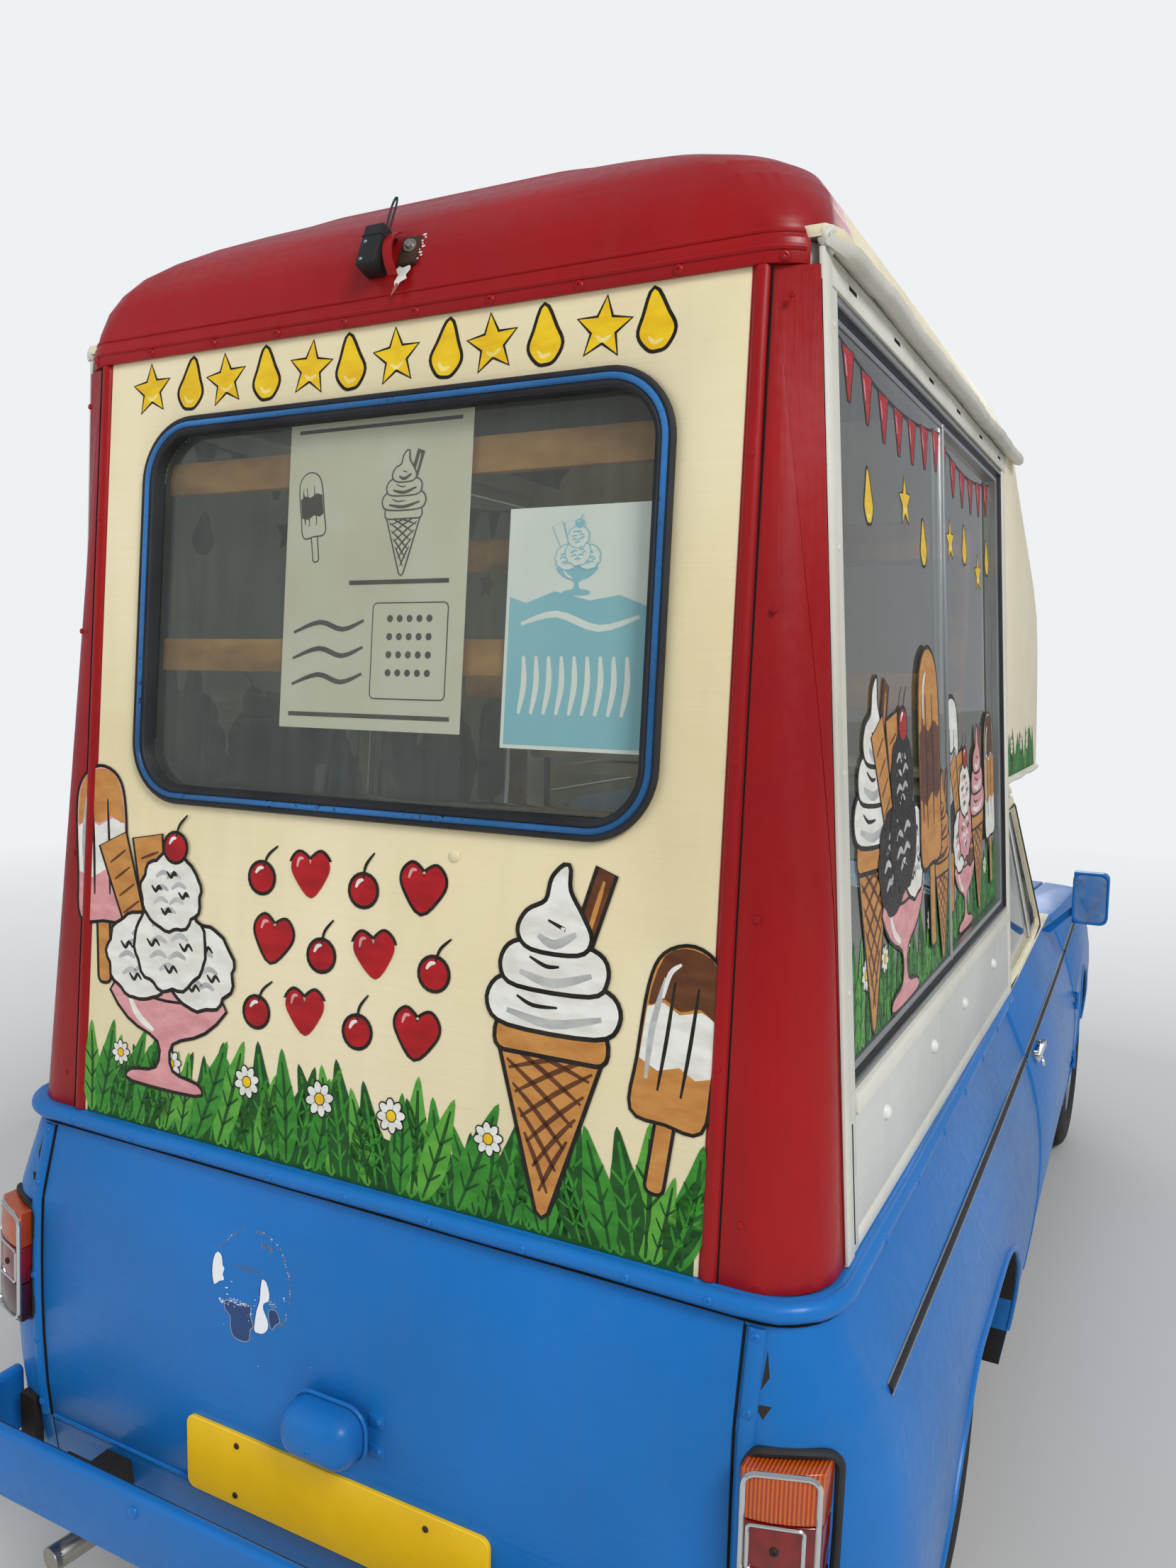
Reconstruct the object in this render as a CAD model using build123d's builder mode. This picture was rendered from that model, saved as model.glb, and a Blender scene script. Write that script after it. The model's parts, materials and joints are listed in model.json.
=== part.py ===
"""Coach-built ice cream van on a small car-derived van, late 1970s, in millimetres.

+X is the van's right side, +Y is forwards, +Z is up. The origin is on the ground, under the
middle of the van's box. The body's walls are rings between an outer and an inner hull, and each
panel is the stretch of such a ring between the seams where the real panels meet.
"""
import math
import os
from collections import namedtuple

from build123d import *

os.makedirs("parts", exist_ok=True)

# Wheels and running gear
WHEELBASE = 2324.0
REAR_AXLE_Y = -1040.0
FRONT_AXLE_Y = REAR_AXLE_Y + WHEELBASE
TYRE_R = 290.0
TYRE_W = 155.0
RIM_R = 165.0
RIM_W = 128.0
FRONT_HALF_TRACK = 600.0
REAR_HALF_TRACK = 612.0
KINGPIN_X = 545.0
STUB_R = 17.0
RUN_GAP = 0.3
TRACK_ARM = 108.0
TRACK_ROD_IN = 42.0

# Lower body, drawn in plan at the height of the crease that runs round it
BODY_REAR = -1817.5
BODY_FRONT = 1800.0
CREASE_Z = 782.0
CREASE_W_BACK = 709.0
CREASE_W_MID = 694.0
CREASE_W_FRONT = 640.0
CREASE_MID_Y = -320.0
CREASE_R_BACK = 130.0
CREASE_R_FRONT = 80.0
SILL_Z = 235.0
WAIST_Z = 897.0
BODY_WALL = 45.0
FRONT_BOW = 14.0

# Shut lines
GAP = 8.0
DOOR_REAR = -318.0
DOOR_FRONT = 782.0
DOOR_BOTTOM = 300.0
BONNET_REAR = 742.0
BONNET_FRONT = 1786.0
BONNET_HALF_W = 498.0
REAR_SEAM_X = 572.0
REAR_SEAM_Z = 415.0
DECK_WALL = 26.0
POST_X = 568.0

# Upper body
SIDE_LEAN = 0.061
UPPER_W = 655.8
UPPER_REAR = -1787.0
UPPER_FRONT = -312.0
DRIP_Z = 2095.0
REAR_LEAN = 90.0 / (DRIP_Z - WAIST_Z)
UPPER_WALL = 34.0
UPPER_CORNER_R = 85.0
PILLAR_INNER_X = 513.0
PILLAR_FRONT_Y = -1680.0
LUTON_Z = 1386.0
ROOF_WALL = 26.0
DOME_FRONT_Y = -1530.0
LUTON_REAR_Y = -213.0

# Windows of the upper body
REAR_WINDOW = (430.0, 1413.0, 1973.0, 90.0)
SIDE_WINDOW = (-1620.5, -350.5, 1115.0, 2052.0)
SIDE_DIVIDER_Y = -976.5
GLASS = 5.0

# Floor
CAB_FLOOR_Z = 290.0
LOAD_FLOOR_Z = 450.0
SHEET = 12.0
FIREWALL_Y = 722.0
STEP_Y = -330.0

Section = namedtuple("Section", "z w_back w_mid w_front y_back y_front r_back r_front bow mid_y")


def write(piece, node):
    """Label a finished piece and write it as its node's file."""
    piece.label = node
    export_step(piece, f"parts/{node}.step")


def plan_section(row, inset=0.0):
    """Rounded plan outline of one hull row, drawn in by inset all round."""
    w_back, w_mid, w_front = row.w_back - inset, row.w_mid - inset, row.w_front - inset
    y_back, y_front = row.y_back + inset, row.y_front - inset
    r_back, r_front = max(row.r_back - inset, 4.0), max(row.r_front - inset, 4.0)
    bend = 1.0 - math.sqrt(0.5)
    with BuildSketch(Plane.XY.offset(row.z)) as section:
        with BuildLine():
            Line((0, y_back), (w_back - r_back, y_back))
            ThreePointArc(
                (w_back - r_back, y_back),
                (w_back - bend * r_back, y_back + bend * r_back),
                (w_back, y_back + r_back),
            )
            ThreePointArc((w_back, y_back + r_back), (w_mid, row.mid_y), (w_front, y_front - r_front))
            ThreePointArc(
                (w_front, y_front - r_front),
                (w_front - bend * r_front, y_front - bend * r_front),
                (w_front - r_front, y_front),
            )
            ThreePointArc(
                (w_front - r_front, y_front),
                ((w_front - r_front) / 2, y_front + 0.75 * row.bow),
                (0, y_front + row.bow),
            )
            mirror(about=Plane.YZ)
        make_face()
    return section.sketch


def eased(rows, steps):
    """Rows of any kind with others set between them on a smooth line, so that ruled bands follow a curve."""
    fine = []
    for i in range(len(rows) - 1):
        four = [rows[min(max(i + k, 0), len(rows) - 1)] for k in (-1, 0, 1, 2)]
        for t in (step / steps for step in range(steps)):
            fine.append(Section(*(
                0.5 * (2 * b + (c - a) * t + (2 * a - 5 * b + 4 * c - d) * t**2 + (3 * b - a - 3 * c + d) * t**3)
                for a, b, c, d in zip(*four))))
    return fine + [rows[-1]]


def hull(rows, inset=0.0):
    """Ruled loft through the rows' outlines, all drawn in by inset."""
    with BuildPart() as solid:
        loft(sections=[plan_section(row, inset) for row in rows], ruled=True)
    return solid.part


def stretched(rows, below, above):
    """The same rows with the lowest and highest moved apart, for a hollow open at both ends."""
    low, high = rows[0], rows[-1]
    return [low._replace(z=low.z - below)] + list(rows[1:-1]) + [high._replace(z=high.z + above)]


def block(x, y, z, mode=Mode.ADD):
    """Box between the pairs of limits x, y and z."""
    with Locations(((x[0] + x[1]) / 2, (y[0] + y[1]) / 2, (z[0] + z[1]) / 2)):
        Box(x[1] - x[0], y[1] - y[0], z[1] - z[0], mode=mode)


def bar_x(x, y, z, radius, mode=Mode.ADD):
    """Round bar along X between the limits x, centred on y and z."""
    with Locations(Location(((x[0] + x[1]) / 2, y, z), (0, 90, 0))):
        Cylinder(radius, x[1] - x[0], mode=mode)


def bar_y(x, y, z, radius, mode=Mode.ADD):
    """Round bar along Y between the limits y, centred on x and z."""
    with Locations(Location((x, (y[0] + y[1]) / 2, z), (90, 0, 0))):
        Cylinder(radius, y[1] - y[0], mode=mode)


def bar_z(x, y, z, radius, mode=Mode.ADD):
    """Round bar along Z between the limits z, centred on x and y."""
    with Locations((x, y, (z[0] + z[1]) / 2)):
        Cylinder(radius, z[1] - z[0], mode=mode)


def mirrored(piece):
    """The same piece on the other side of the van."""
    return mirror(piece, about=Plane.YZ, mode=Mode.PRIVATE)


def crease_row(z, side_in, end_in):
    """Row of the lower body, drawn in from its crease at the sides and at the ends."""
    return Section(
        z,
        CREASE_W_BACK - side_in,
        CREASE_W_MID - side_in,
        CREASE_W_FRONT - side_in,
        BODY_REAR + end_in,
        BODY_FRONT - end_in,
        CREASE_R_BACK - side_in,
        CREASE_R_FRONT - 0.5 * side_in,
        FRONT_BOW,
        CREASE_MID_Y,
    )


# Lower body rows: height, drawn in at the sides, drawn in at the ends
FLANK = [
    crease_row(SILL_Z, -8.0, 38.0),
    crease_row(290.0, -17.6, 24.7),
    crease_row(345.0, -26.4, 14.2),
    crease_row(400.0, -34.0, 6.0),
    crease_row(480.0, -41.4, -2.1),
    crease_row(560.0, -43.0, -6.0),
    crease_row(620.0, -39.2, -6.6),
    crease_row(680.0, -30.1, -5.5),
    crease_row(735.0, -16.3, -3.1),
    crease_row(CREASE_Z, 0.0, 0.0),
]
SHOULDER = [
    crease_row(CREASE_Z, 0.0, 0.0),
    crease_row(WAIST_Z, 49.0, 30.0),
    crease_row(965.0, 78.0, 48.0),
]

with BuildPart() as lower_outer:
    add(hull(FLANK))
    add(hull(SHOULDER))

with BuildPart() as lower_inner:
    add(hull(stretched(FLANK, 30, 0), BODY_WALL))
    add(hull(stretched(SHOULDER, 0, 30), BODY_WALL))

with BuildPart() as lower_ring:
    add(lower_outer.part)
    add(lower_inner.part, mode=Mode.SUBTRACT)

# Rear panel between its two screwed seams, and the valance below it, through which the irons pass
BUMPER_Y = 1912.5
BUMPER_T = 22.0
BUMPER_IRON_Y = BUMPER_Y - BUMPER_T
IRON_X = (400.0, 450.0)
IRON_Z = (355.0, 400.0)
VALANCE_LOW = 290.0
SEAM_GAP = 1.0
with BuildPart() as rear_panel:
    add(lower_ring.part)
    block((-REAR_SEAM_X, REAR_SEAM_X), (-1900, -1700), (VALANCE_LOW, WAIST_Z), Mode.INTERSECT)
    block((-REAR_SEAM_X, REAR_SEAM_X), (-1900, -1700), (REAR_SEAM_Z - SEAM_GAP, REAR_SEAM_Z), Mode.SUBTRACT)
    for side in (-1, 1):
        block(sorted((side * IRON_X[0], side * IRON_X[1])), (-1900, -1700), IRON_Z, Mode.SUBTRACT)
write(rear_panel.part, "rear_panel")

# Rear quarter panel, from the rear seam round the corner to the door, with its wheel arch and sill
ARCH_R = 300.0
ARCH_HALF_FLAT = 125.0
with BuildPart() as side_panel_right:
    add(lower_ring.part)
    block((REAR_SEAM_X, 800), (-1900, DOOR_FRONT + GAP), (SILL_Z, WAIST_Z), Mode.INTERSECT)
    block((REAR_SEAM_X, 800), (DOOR_REAR - GAP, 900), (CAB_FLOOR_Z, 1000), Mode.SUBTRACT)
    with BuildSketch(Plane.YZ.offset(400)):
        with Locations((REAR_AXLE_Y, TYRE_R)):
            SlotCenterToCenter(2 * ARCH_HALF_FLAT, 2 * ARCH_R)
            Rectangle(2 * (ARCH_HALF_FLAT + ARCH_R) - 6, 200, align=(Align.CENTER, Align.MAX))
    extrude(amount=500, mode=Mode.SUBTRACT)
write(side_panel_right.part, "side_panel_right")
write(mirrored(side_panel_right.part), "side_panel_left")

# Half-round waist moulding that covers the joint of the lower and the upper body
MOULDING_OUT = 9.0
MOULDING_H = 26.0
waist_row = crease_row(WAIST_Z, 49.0, 30.0)
with BuildPart() as waist_moulding:
    with BuildSketch(Plane.XY.offset(WAIST_Z)):
        add(plan_section(waist_row._replace(z=0), -MOULDING_OUT))
        add(plan_section(waist_row._replace(z=0), 12.0), mode=Mode.SUBTRACT)
    extrude(amount=MOULDING_H)
    block((-800, 800), (-1900, UPPER_FRONT), (WAIST_Z, WAIST_Z + MOULDING_H), Mode.INTERSECT)
write(waist_moulding.part, "waist_moulding")


def upper_row(z, r_back):
    """Row of the upper body, whose sides and back lean in as they rise."""
    w = UPPER_W - SIDE_LEAN * (z - WAIST_Z)
    return Section(z, w, w + 1, w, UPPER_REAR + REAR_LEAN * (z - WAIST_Z), UPPER_FRONT, r_back, 14.0, 1.0,
                   (UPPER_REAR + UPPER_FRONT) / 2)


UPPER_BASE_Z = WAIST_Z + MOULDING_H
UPPER = eased([upper_row(UPPER_BASE_Z, UPPER_CORNER_R), upper_row(DRIP_Z, UPPER_CORNER_R - 15)], 2)
with BuildPart() as upper_ring:
    add(hull(UPPER))
    add(hull(stretched(UPPER, 20, 20), UPPER_WALL), mode=Mode.SUBTRACT)

half_w, low, high, corner = REAR_WINDOW
with BuildPart() as upper_rear_panel:
    add(upper_ring.part)
    block((-PILLAR_INNER_X, PILLAR_INNER_X), (-1900, -1600), (UPPER_BASE_Z, DRIP_Z), Mode.INTERSECT)
    with BuildSketch(Plane.XZ.offset(1600)):
        with Locations((0, (low + high) / 2)):
            RectangleRounded(2 * half_w, high - low, corner)
    extrude(amount=300, mode=Mode.SUBTRACT)
write(upper_rear_panel.part, "upper_rear_panel")

with BuildPart() as pillar_right:
    add(upper_ring.part)
    block((PILLAR_INNER_X, 800), (-1900, PILLAR_FRONT_Y), (UPPER_BASE_Z, DRIP_Z), Mode.INTERSECT)
with BuildPart() as corner_pillars:
    add(pillar_right.part)
    add(mirrored(pillar_right.part))
write(corner_pillars.part, "corner_pillars")

win_back, win_front, sill, head = SIDE_WINDOW
CAB_PASSAGE_X = 520.0
with BuildPart() as upper_side_right:
    add(upper_ring.part)
    block((CAB_PASSAGE_X, 800), (PILLAR_FRONT_Y, UPPER_FRONT + 2), (UPPER_BASE_Z, DRIP_Z), Mode.INTERSECT)
    block((500, 800), (win_back, win_front), (sill, head), Mode.SUBTRACT)
    block((400, 560), (-400, -300), (LUTON_Z, DRIP_Z), Mode.SUBTRACT)
write(upper_side_right.part, "upper_side_right")
write(mirrored(upper_side_right.part), "upper_side_left")

# Roof, rear dome and luton are one hull over the upper body.
# Columns: height, half width, rear edge, front edge, rear corner radius, front corner radius
TOP_ROWS = [
    (LUTON_Z, UPPER_W - SIDE_LEAN * (LUTON_Z - WAIST_Z), -1750.0, 296.0, 60.0, 105.0),
    (1600.0, UPPER_W - SIDE_LEAN * (1600.0 - WAIST_Z), -1735.0, 360.0, 60.0, 115.0),
    (1774.0, UPPER_W - SIDE_LEAN * (1774.0 - WAIST_Z), -1721.0, 378.0, 60.0, 130.0),
    (1900.0, UPPER_W - SIDE_LEAN * (1900.0 - WAIST_Z), -1712.0, 330.0, 60.0, 210.0),
    (2010.0, UPPER_W - SIDE_LEAN * (2010.0 - WAIST_Z), -1704.0, 225.0, 60.0, 260.0),
    (DRIP_Z, UPPER_W - SIDE_LEAN * (DRIP_Z - WAIST_Z) + 6, -1703.0, 95.0, 70.0, 290.0),
]
ROOF_ROWS = [
    (DRIP_Z, UPPER_W - SIDE_LEAN * (DRIP_Z - WAIST_Z) + 6, -1703.0, 95.0, 70.0, 290.0),
    (2150.0, 576.0, -1694.0, -10.0, 80.0, 300.0),
    (2200.0, 548.0, -1668.0, -115.0, 100.0, 300.0),
    (2240.0, 486.0, -1622.0, -215.0, 130.0, 290.0),
    (2270.0, 372.0, -1570.0, -300.0, 150.0, 250.0),
    (2286.0, 268.0, -1540.0, -336.0, 130.0, 190.0),
    (2300.0, 90.0, -1450.0, -420.0, 60.0, 80.0),
]


def top_row(z, w, y_back, y_front, r_back, r_front):
    return Section(z, w, w + 1, w, y_back, y_front, r_back, r_front, 8.0, (y_back + y_front) / 2)


TOP = eased([top_row(*row) for row in TOP_ROWS], 2)
ROOF = eased([top_row(*row) for row in ROOF_ROWS], 2)
with BuildPart() as roof_outer:
    add(hull(ROOF))
with BuildPart() as roof_inner:
    add(hull([row._replace(z=row.z - ROOF_WALL * (row.z - DRIP_Z + 20) / 200) for row in ROOF], ROOF_WALL))
    block((-540, 540), (-1660, -60), (DRIP_Z - 40, DRIP_Z))
with BuildPart() as roof_ring:
    add(roof_outer.part)
    add(roof_inner.part, mode=Mode.SUBTRACT)

# Drip rail along both eaves, bent in with the roof's rear corners
DRIP_OUT = 14.0
DRIP_IN = 8.0
DRIP_H = 14.0
with BuildPart() as drip_rail:
    with BuildSketch(Plane.XY.offset(DRIP_Z)):
        add(plan_section(TOP[-1]._replace(z=0), -DRIP_OUT))
        add(plan_section(TOP[-1]._replace(z=0), DRIP_IN), mode=Mode.SUBTRACT)
    extrude(amount=DRIP_H)
    block((-700, 700), (PILLAR_FRONT_Y, LUTON_REAR_Y), (DRIP_Z, DRIP_Z + DRIP_H), Mode.INTERSECT)
with BuildPart() as roof:
    add(roof_ring.part)
    block((-700, 700), (DOME_FRONT_Y, LUTON_REAR_Y), (DRIP_Z, 2400), Mode.INTERSECT)
    add(drip_rail.part)
write(roof.part, "roof")

DOME_LIP_Z = 2067.0
with BuildPart() as rear_dome:
    add(roof_ring.part)
    block((-700, 700), (-1800, DOME_FRONT_Y), (DRIP_Z, 2400), Mode.INTERSECT)
    with BuildSketch(Plane.XY.offset(DOME_LIP_Z)):
        add(plan_section(TOP[-1]._replace(z=0), -2.0))
        add(plan_section(TOP[-1]._replace(z=0), 2.0 + 4.0), mode=Mode.SUBTRACT)
    extrude(amount=DRIP_Z - DOME_LIP_Z)
    block((-700, 700), (-1800, DOME_FRONT_Y), (DOME_LIP_Z, 2400), Mode.INTERSECT)
    block((-700, 700), (PILLAR_FRONT_Y, DOME_FRONT_Y), (DOME_LIP_Z, DRIP_Z + DRIP_H), Mode.SUBTRACT)
    add(hull(stretched(UPPER, 20, 0), -0.3), mode=Mode.SUBTRACT)
write(rear_dome.part, "rear_dome")

with BuildPart() as luton:
    add(hull(TOP))
    add(hull(TOP + [TOP[-1]._replace(z=DRIP_Z + 20)], ROOF_WALL), mode=Mode.SUBTRACT)
    block((-700, 700), (UPPER_FRONT + 2, 500), (LUTON_Z, DRIP_Z), Mode.INTERSECT)
with BuildPart() as luton_top:
    add(roof_ring.part)
    block((-700, 700), (LUTON_REAR_Y, 500), (DRIP_Z, 2400), Mode.INTERSECT)
with BuildPart() as luton_floor:
    add(hull(TOP))
    block((-700, 700), (UPPER_FRONT + 2, 500), (LUTON_Z, LUTON_Z + 14), Mode.INTERSECT)
with BuildPart() as luton_whole:
    add(luton.part)
    add(luton_top.part)
    add(luton_floor.part)
write(luton_whole.part, "luton")

# Cab above the waist: rows from the scuttle to the crown of the cab roof
CAB_REAR = UPPER_FRONT + 22.0
CAB_WALL = 34.0
CAB_HEAD_Z = 1310.0
CAB = eased([
    Section(WAIST_Z - 12, 643.0, 638.0, 618.0, CAB_REAR, 706.0, 6.0, 95.0, 26.0, 100.0),
    Section(CAB_HEAD_Z, 560.0, 556.0, 543.0, CAB_REAR, 470.0, 6.0, 80.0, 20.0, 80.0),
], 2)
# Columns: height, drawn in all round from the row at the head of the windscreen
CAB_ROOF = [CAB[-1]] + [
    CAB[-1]._replace(z=z, w_back=560.0 - cut, w_mid=556.0 - cut, w_front=543.0 - cut, y_front=470.0 - 1.3 * cut)
    for z, cut in ((1344.0, 16.0), (1366.0, 62.0), (1378.0, 200.0))
]
with BuildPart() as cab_outer:
    add(hull(CAB))
    add(hull(CAB_ROOF))
open_rows = [row._replace(y_back=row.y_back - 80) for row in CAB]
with BuildPart() as cab_inner:
    add(hull(stretched(open_rows, 25, 0), CAB_WALL))
    block((-490, 490), (CAB_REAR - 40, 380), (CAB_HEAD_Z - 10, CAB_HEAD_Z + 34))


def screen_opening():
    """Windscreen opening, a trapezium with rounded corners pushed through the cab's front wall."""
    with BuildPart() as opening:
        with BuildSketch(Plane.XZ.offset(-900)):
            with BuildLine():
                Polyline((-548, 925), (548, 925), (478, 1284), (-478, 1284), close=True)
            make_face()
            fillet(vertices(), 45)
        extrude(amount=560)
    return opening.part


# Side of the cab seen square on: front pillar's line and the door's window frame.
# Columns: y at the waist, y at the head of the door
DOOR_HEAD_Z = 1290.0
PILLAR_LINE = (640.0, 448.0)
FRAME_REAR = DOOR_REAR + 34.0
FRAME_W = 30.0


def door_frame_profile(spread):
    """Extrusion of the door's upper outline, spread outwards by the given distance."""
    with BuildPart() as profile:
        with BuildSketch(Plane.YZ.offset(380)):
            with BuildLine():
                Polyline(
                    (FRAME_REAR - spread, WAIST_Z - 12),
                    (PILLAR_LINE[0] + spread, WAIST_Z - 12),
                    (PILLAR_LINE[1] + spread, DOOR_HEAD_Z + spread),
                    (FRAME_REAR - spread, DOOR_HEAD_Z + spread),
                    close=True,
                )
            make_face()
        extrude(amount=420)
    return profile.part


def door_glass_profile():
    """Extrusion of the window in the door's frame."""
    with BuildPart() as profile:
        with BuildSketch(Plane.YZ.offset(380)):
            with BuildLine():
                Polyline(
                    (FRAME_REAR + FRAME_W, WAIST_Z + 6),
                    (PILLAR_LINE[0] - 1.5 * FRAME_W, WAIST_Z + 6),
                    (PILLAR_LINE[1] - FRAME_W, DOOR_HEAD_Z - FRAME_W),
                    (FRAME_REAR + FRAME_W, DOOR_HEAD_Z - FRAME_W),
                    close=True,
                )
            make_face()
            fillet(vertices(), 16)
        extrude(amount=420)
    return profile.part


with BuildPart() as cab_shell:
    add(cab_outer.part)
    add(cab_inner.part, mode=Mode.SUBTRACT)
    add(screen_opening(), mode=Mode.SUBTRACT)
    for opening in (door_frame_profile(GAP), mirrored(door_frame_profile(GAP))):
        add(opening, mode=Mode.SUBTRACT)
    block((-800, 800), (CAB_REAR - 5, 560), (WAIST_Z - 40, WAIST_Z + GAP), Mode.SUBTRACT)
    for side in ((-800, -POST_X), (POST_X, 800)):
        block(side, (0, DOOR_FRONT + GAP), (WAIST_Z - 40, WAIST_Z + GAP), Mode.SUBTRACT)
    block((-800, 800), (CAB_REAR - 5, FRAME_REAR - GAP + 1), (WAIST_Z - 40, DOOR_HEAD_Z + GAP), Mode.SUBTRACT)
write(cab_shell.part, "cab_shell")


def cab_skin(depth, thickness):
    """Thin sheet at the given depth inside the cab's outer face."""
    with BuildPart() as skin:
        add(hull(open_rows, depth))
        add(hull(stretched(open_rows, 5, 5), depth + thickness), mode=Mode.SUBTRACT)
    return skin.part


with BuildPart() as windscreen:
    add(cab_skin(14, GLASS + 1))
    add(screen_opening(), mode=Mode.INTERSECT)

# Door hinges: a barrel at each of two heights, the middle third on the door and the rest on the wing
DOOR_HINGE = (714.5, DOOR_FRONT)
DOOR_HINGE_Z = (455.0, 640.0)
BARREL_H = 54.0
BARREL_R = 5.5
BARREL_PIN_R = 2.6


def barrel_parts(centre_z):
    """Height limits of the wing's lower, the door's middle and the wing's upper third of a barrel."""
    third = BARREL_H / 3
    low = centre_z - BARREL_H / 2
    return [(low, low + third), (low + third + RUN_GAP, low + 2 * third - RUN_GAP), (low + 2 * third, low + BARREL_H)]


# Doors: lower shell with the window frame on top, hung on the front edge
with BuildPart() as door_right:
    add(lower_ring.part)
    block((500, 800), (DOOR_REAR, DOOR_FRONT), (DOOR_BOTTOM, WAIST_Z), Mode.INTERSECT)
    with BuildPart(mode=Mode.PRIVATE) as frame:
        add(cab_outer.part)
        add(cab_inner.part, mode=Mode.SUBTRACT)
        add(door_frame_profile(0), mode=Mode.INTERSECT)
        add(door_glass_profile(), mode=Mode.SUBTRACT)
    add(frame.part)
    for centre_z in DOOR_HINGE_Z:
        below, middle, above = barrel_parts(centre_z)
        bar_z(*DOOR_HINGE, (below[0] - RUN_GAP, middle[0]), BARREL_R + RUN_GAP, Mode.SUBTRACT)
        bar_z(*DOOR_HINGE, (middle[1], above[1] + RUN_GAP), BARREL_R + RUN_GAP, Mode.SUBTRACT)
        bar_z(*DOOR_HINGE, middle, BARREL_R)
        bar_z(*DOOR_HINGE, middle, BARREL_PIN_R + RUN_GAP, Mode.SUBTRACT)
write(door_right.part, "door_right")
write(mirrored(door_right.part), "door_left")

with BuildPart() as door_glass_right:
    add(cab_skin(15, GLASS))
    add(door_glass_profile(), mode=Mode.INTERSECT)
write(door_glass_right.part, "door_glass_right")
write(mirrored(door_glass_right.part), "door_glass_left")

# Handle with its escutcheon, quarter light bar and mirror on its arm
HANDLE_Y = -220.0
HANDLE_Z = 757.0
MIRROR = (752.0, 545.0, 1000.0)
with BuildPart() as door_trim_right:
    bar_x((690, 712), HANDLE_Y, HANDLE_Z, 13)
    block((705, 716), (HANDLE_Y - 12, HANDLE_Y + 118), (HANDLE_Z - 7, HANDLE_Z + 9))
    bar_x((690, 709), HANDLE_Y + 100, HANDLE_Z, 9)
    with Locations((MIRROR[0], MIRROR[1], MIRROR[2])):
        Box(92, 34, 146)
    fillet(edges().filter_by(Axis.Y).group_by(Axis.X)[-1], 18)
    with BuildSketch(Plane.XZ.offset(-MIRROR[1])):
        with BuildLine():
            Polyline((625, 893), (650, 889), (718, 962), (708, 975), close=True)
        make_face()
    extrude(amount=8, both=True)
    add(door_right.part, mode=Mode.SUBTRACT)
write(door_trim_right.part, "door_trim_right")
write(mirrored(door_trim_right.part), "door_trim_left")

# Nose of the body in front of the doors: one shell under the crowned deck
CROWN_REAR = (600.0, 936.0, 884.0)
CROWN_FRONT = (1850.0, 838.0, 800.0)


def crown(drop):
    """Everything under the deck's crown, lowered by drop. Crown rows: y, height at middle, at edge."""
    sections = []
    for y, middle, edge in (CROWN_REAR, CROWN_FRONT):
        with BuildSketch(Plane.XZ.offset(-y)) as face:
            with BuildLine():
                Polyline((-800, edge - drop), (-800, 0), (800, 0), (800, edge - drop))
                ThreePointArc((-800, edge - drop), (0, middle - drop), (800, edge - drop))
            make_face()
        sections.append(face.sketch)
    with BuildPart() as solid:
        loft(sections=sections)
    return solid.part


SCUTTLE_REAR = 700.0
with BuildPart() as nose_shell:
    add(lower_outer.part)
    block((-800, 800), (DOOR_FRONT - 100, 1900), (SILL_Z, 980), Mode.INTERSECT)
    add(crown(0), mode=Mode.INTERSECT)
    with BuildPart(mode=Mode.PRIVATE) as nose_hollow:
        add(lower_inner.part)
        add(crown(DECK_WALL), mode=Mode.INTERSECT)
    add(nose_hollow.part, mode=Mode.SUBTRACT)

PANEL_HALF_W = 575.0
PANEL_JOINT_Y = BODY_FRONT - 90.0
LAMP_X = 478.0
LAMP_Z = 655.0
LAMP_R = 89.0
GRILLE = (370.0, 585.0, 722.0)
BAY_INNER_X = 366.0
BAY_LID_Z = 690.0
FRONT_ARCH_R = 330.0
BONNET_AXIS = (BONNET_REAR, 927.0)
HINGE_X = 430.0
HINGE_R = 8.0
PIN_R = 4.0
with BuildPart() as bonnet:
    add(nose_shell.part)
    block((-BONNET_HALF_W, BONNET_HALF_W), (BONNET_REAR, BONNET_FRONT), (795, 980), Mode.INTERSECT)
    block((-BONNET_HALF_W, BONNET_HALF_W), (BODY_FRONT - 60, BODY_FRONT + 90), (700, 806), Mode.SUBTRACT)
    for side in (-1, 1):
        knuckle_x = (side * HINGE_X - 14, side * HINGE_X + 14)
        bar_x(knuckle_x, BONNET_AXIS[0], BONNET_AXIS[1], HINGE_R)
        block(knuckle_x, (BONNET_AXIS[0], BONNET_AXIS[0] + 34), (BONNET_AXIS[1] - 28, BONNET_AXIS[1] + 3))
        bar_x(knuckle_x, BONNET_AXIS[0], BONNET_AXIS[1], PIN_R + RUN_GAP, Mode.SUBTRACT)
write(bonnet.part, "bonnet")

with BuildPart() as front_panel:
    add(nose_shell.part)
    block((-PANEL_HALF_W, PANEL_HALF_W), (PANEL_JOINT_Y, 1900), (SILL_Z + 60, 798), Mode.INTERSECT)
    with Locations((-LAMP_X, BODY_FRONT, LAMP_Z), (LAMP_X, BODY_FRONT, LAMP_Z)):
        Cylinder(LAMP_R, 300, rotation=(90, 0, 0), mode=Mode.SUBTRACT)
    block((-GRILLE[0], GRILLE[0]), (1700, 1900), (GRILLE[1], GRILLE[2]), Mode.SUBTRACT)
write(front_panel.part, "front_panel")

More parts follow.
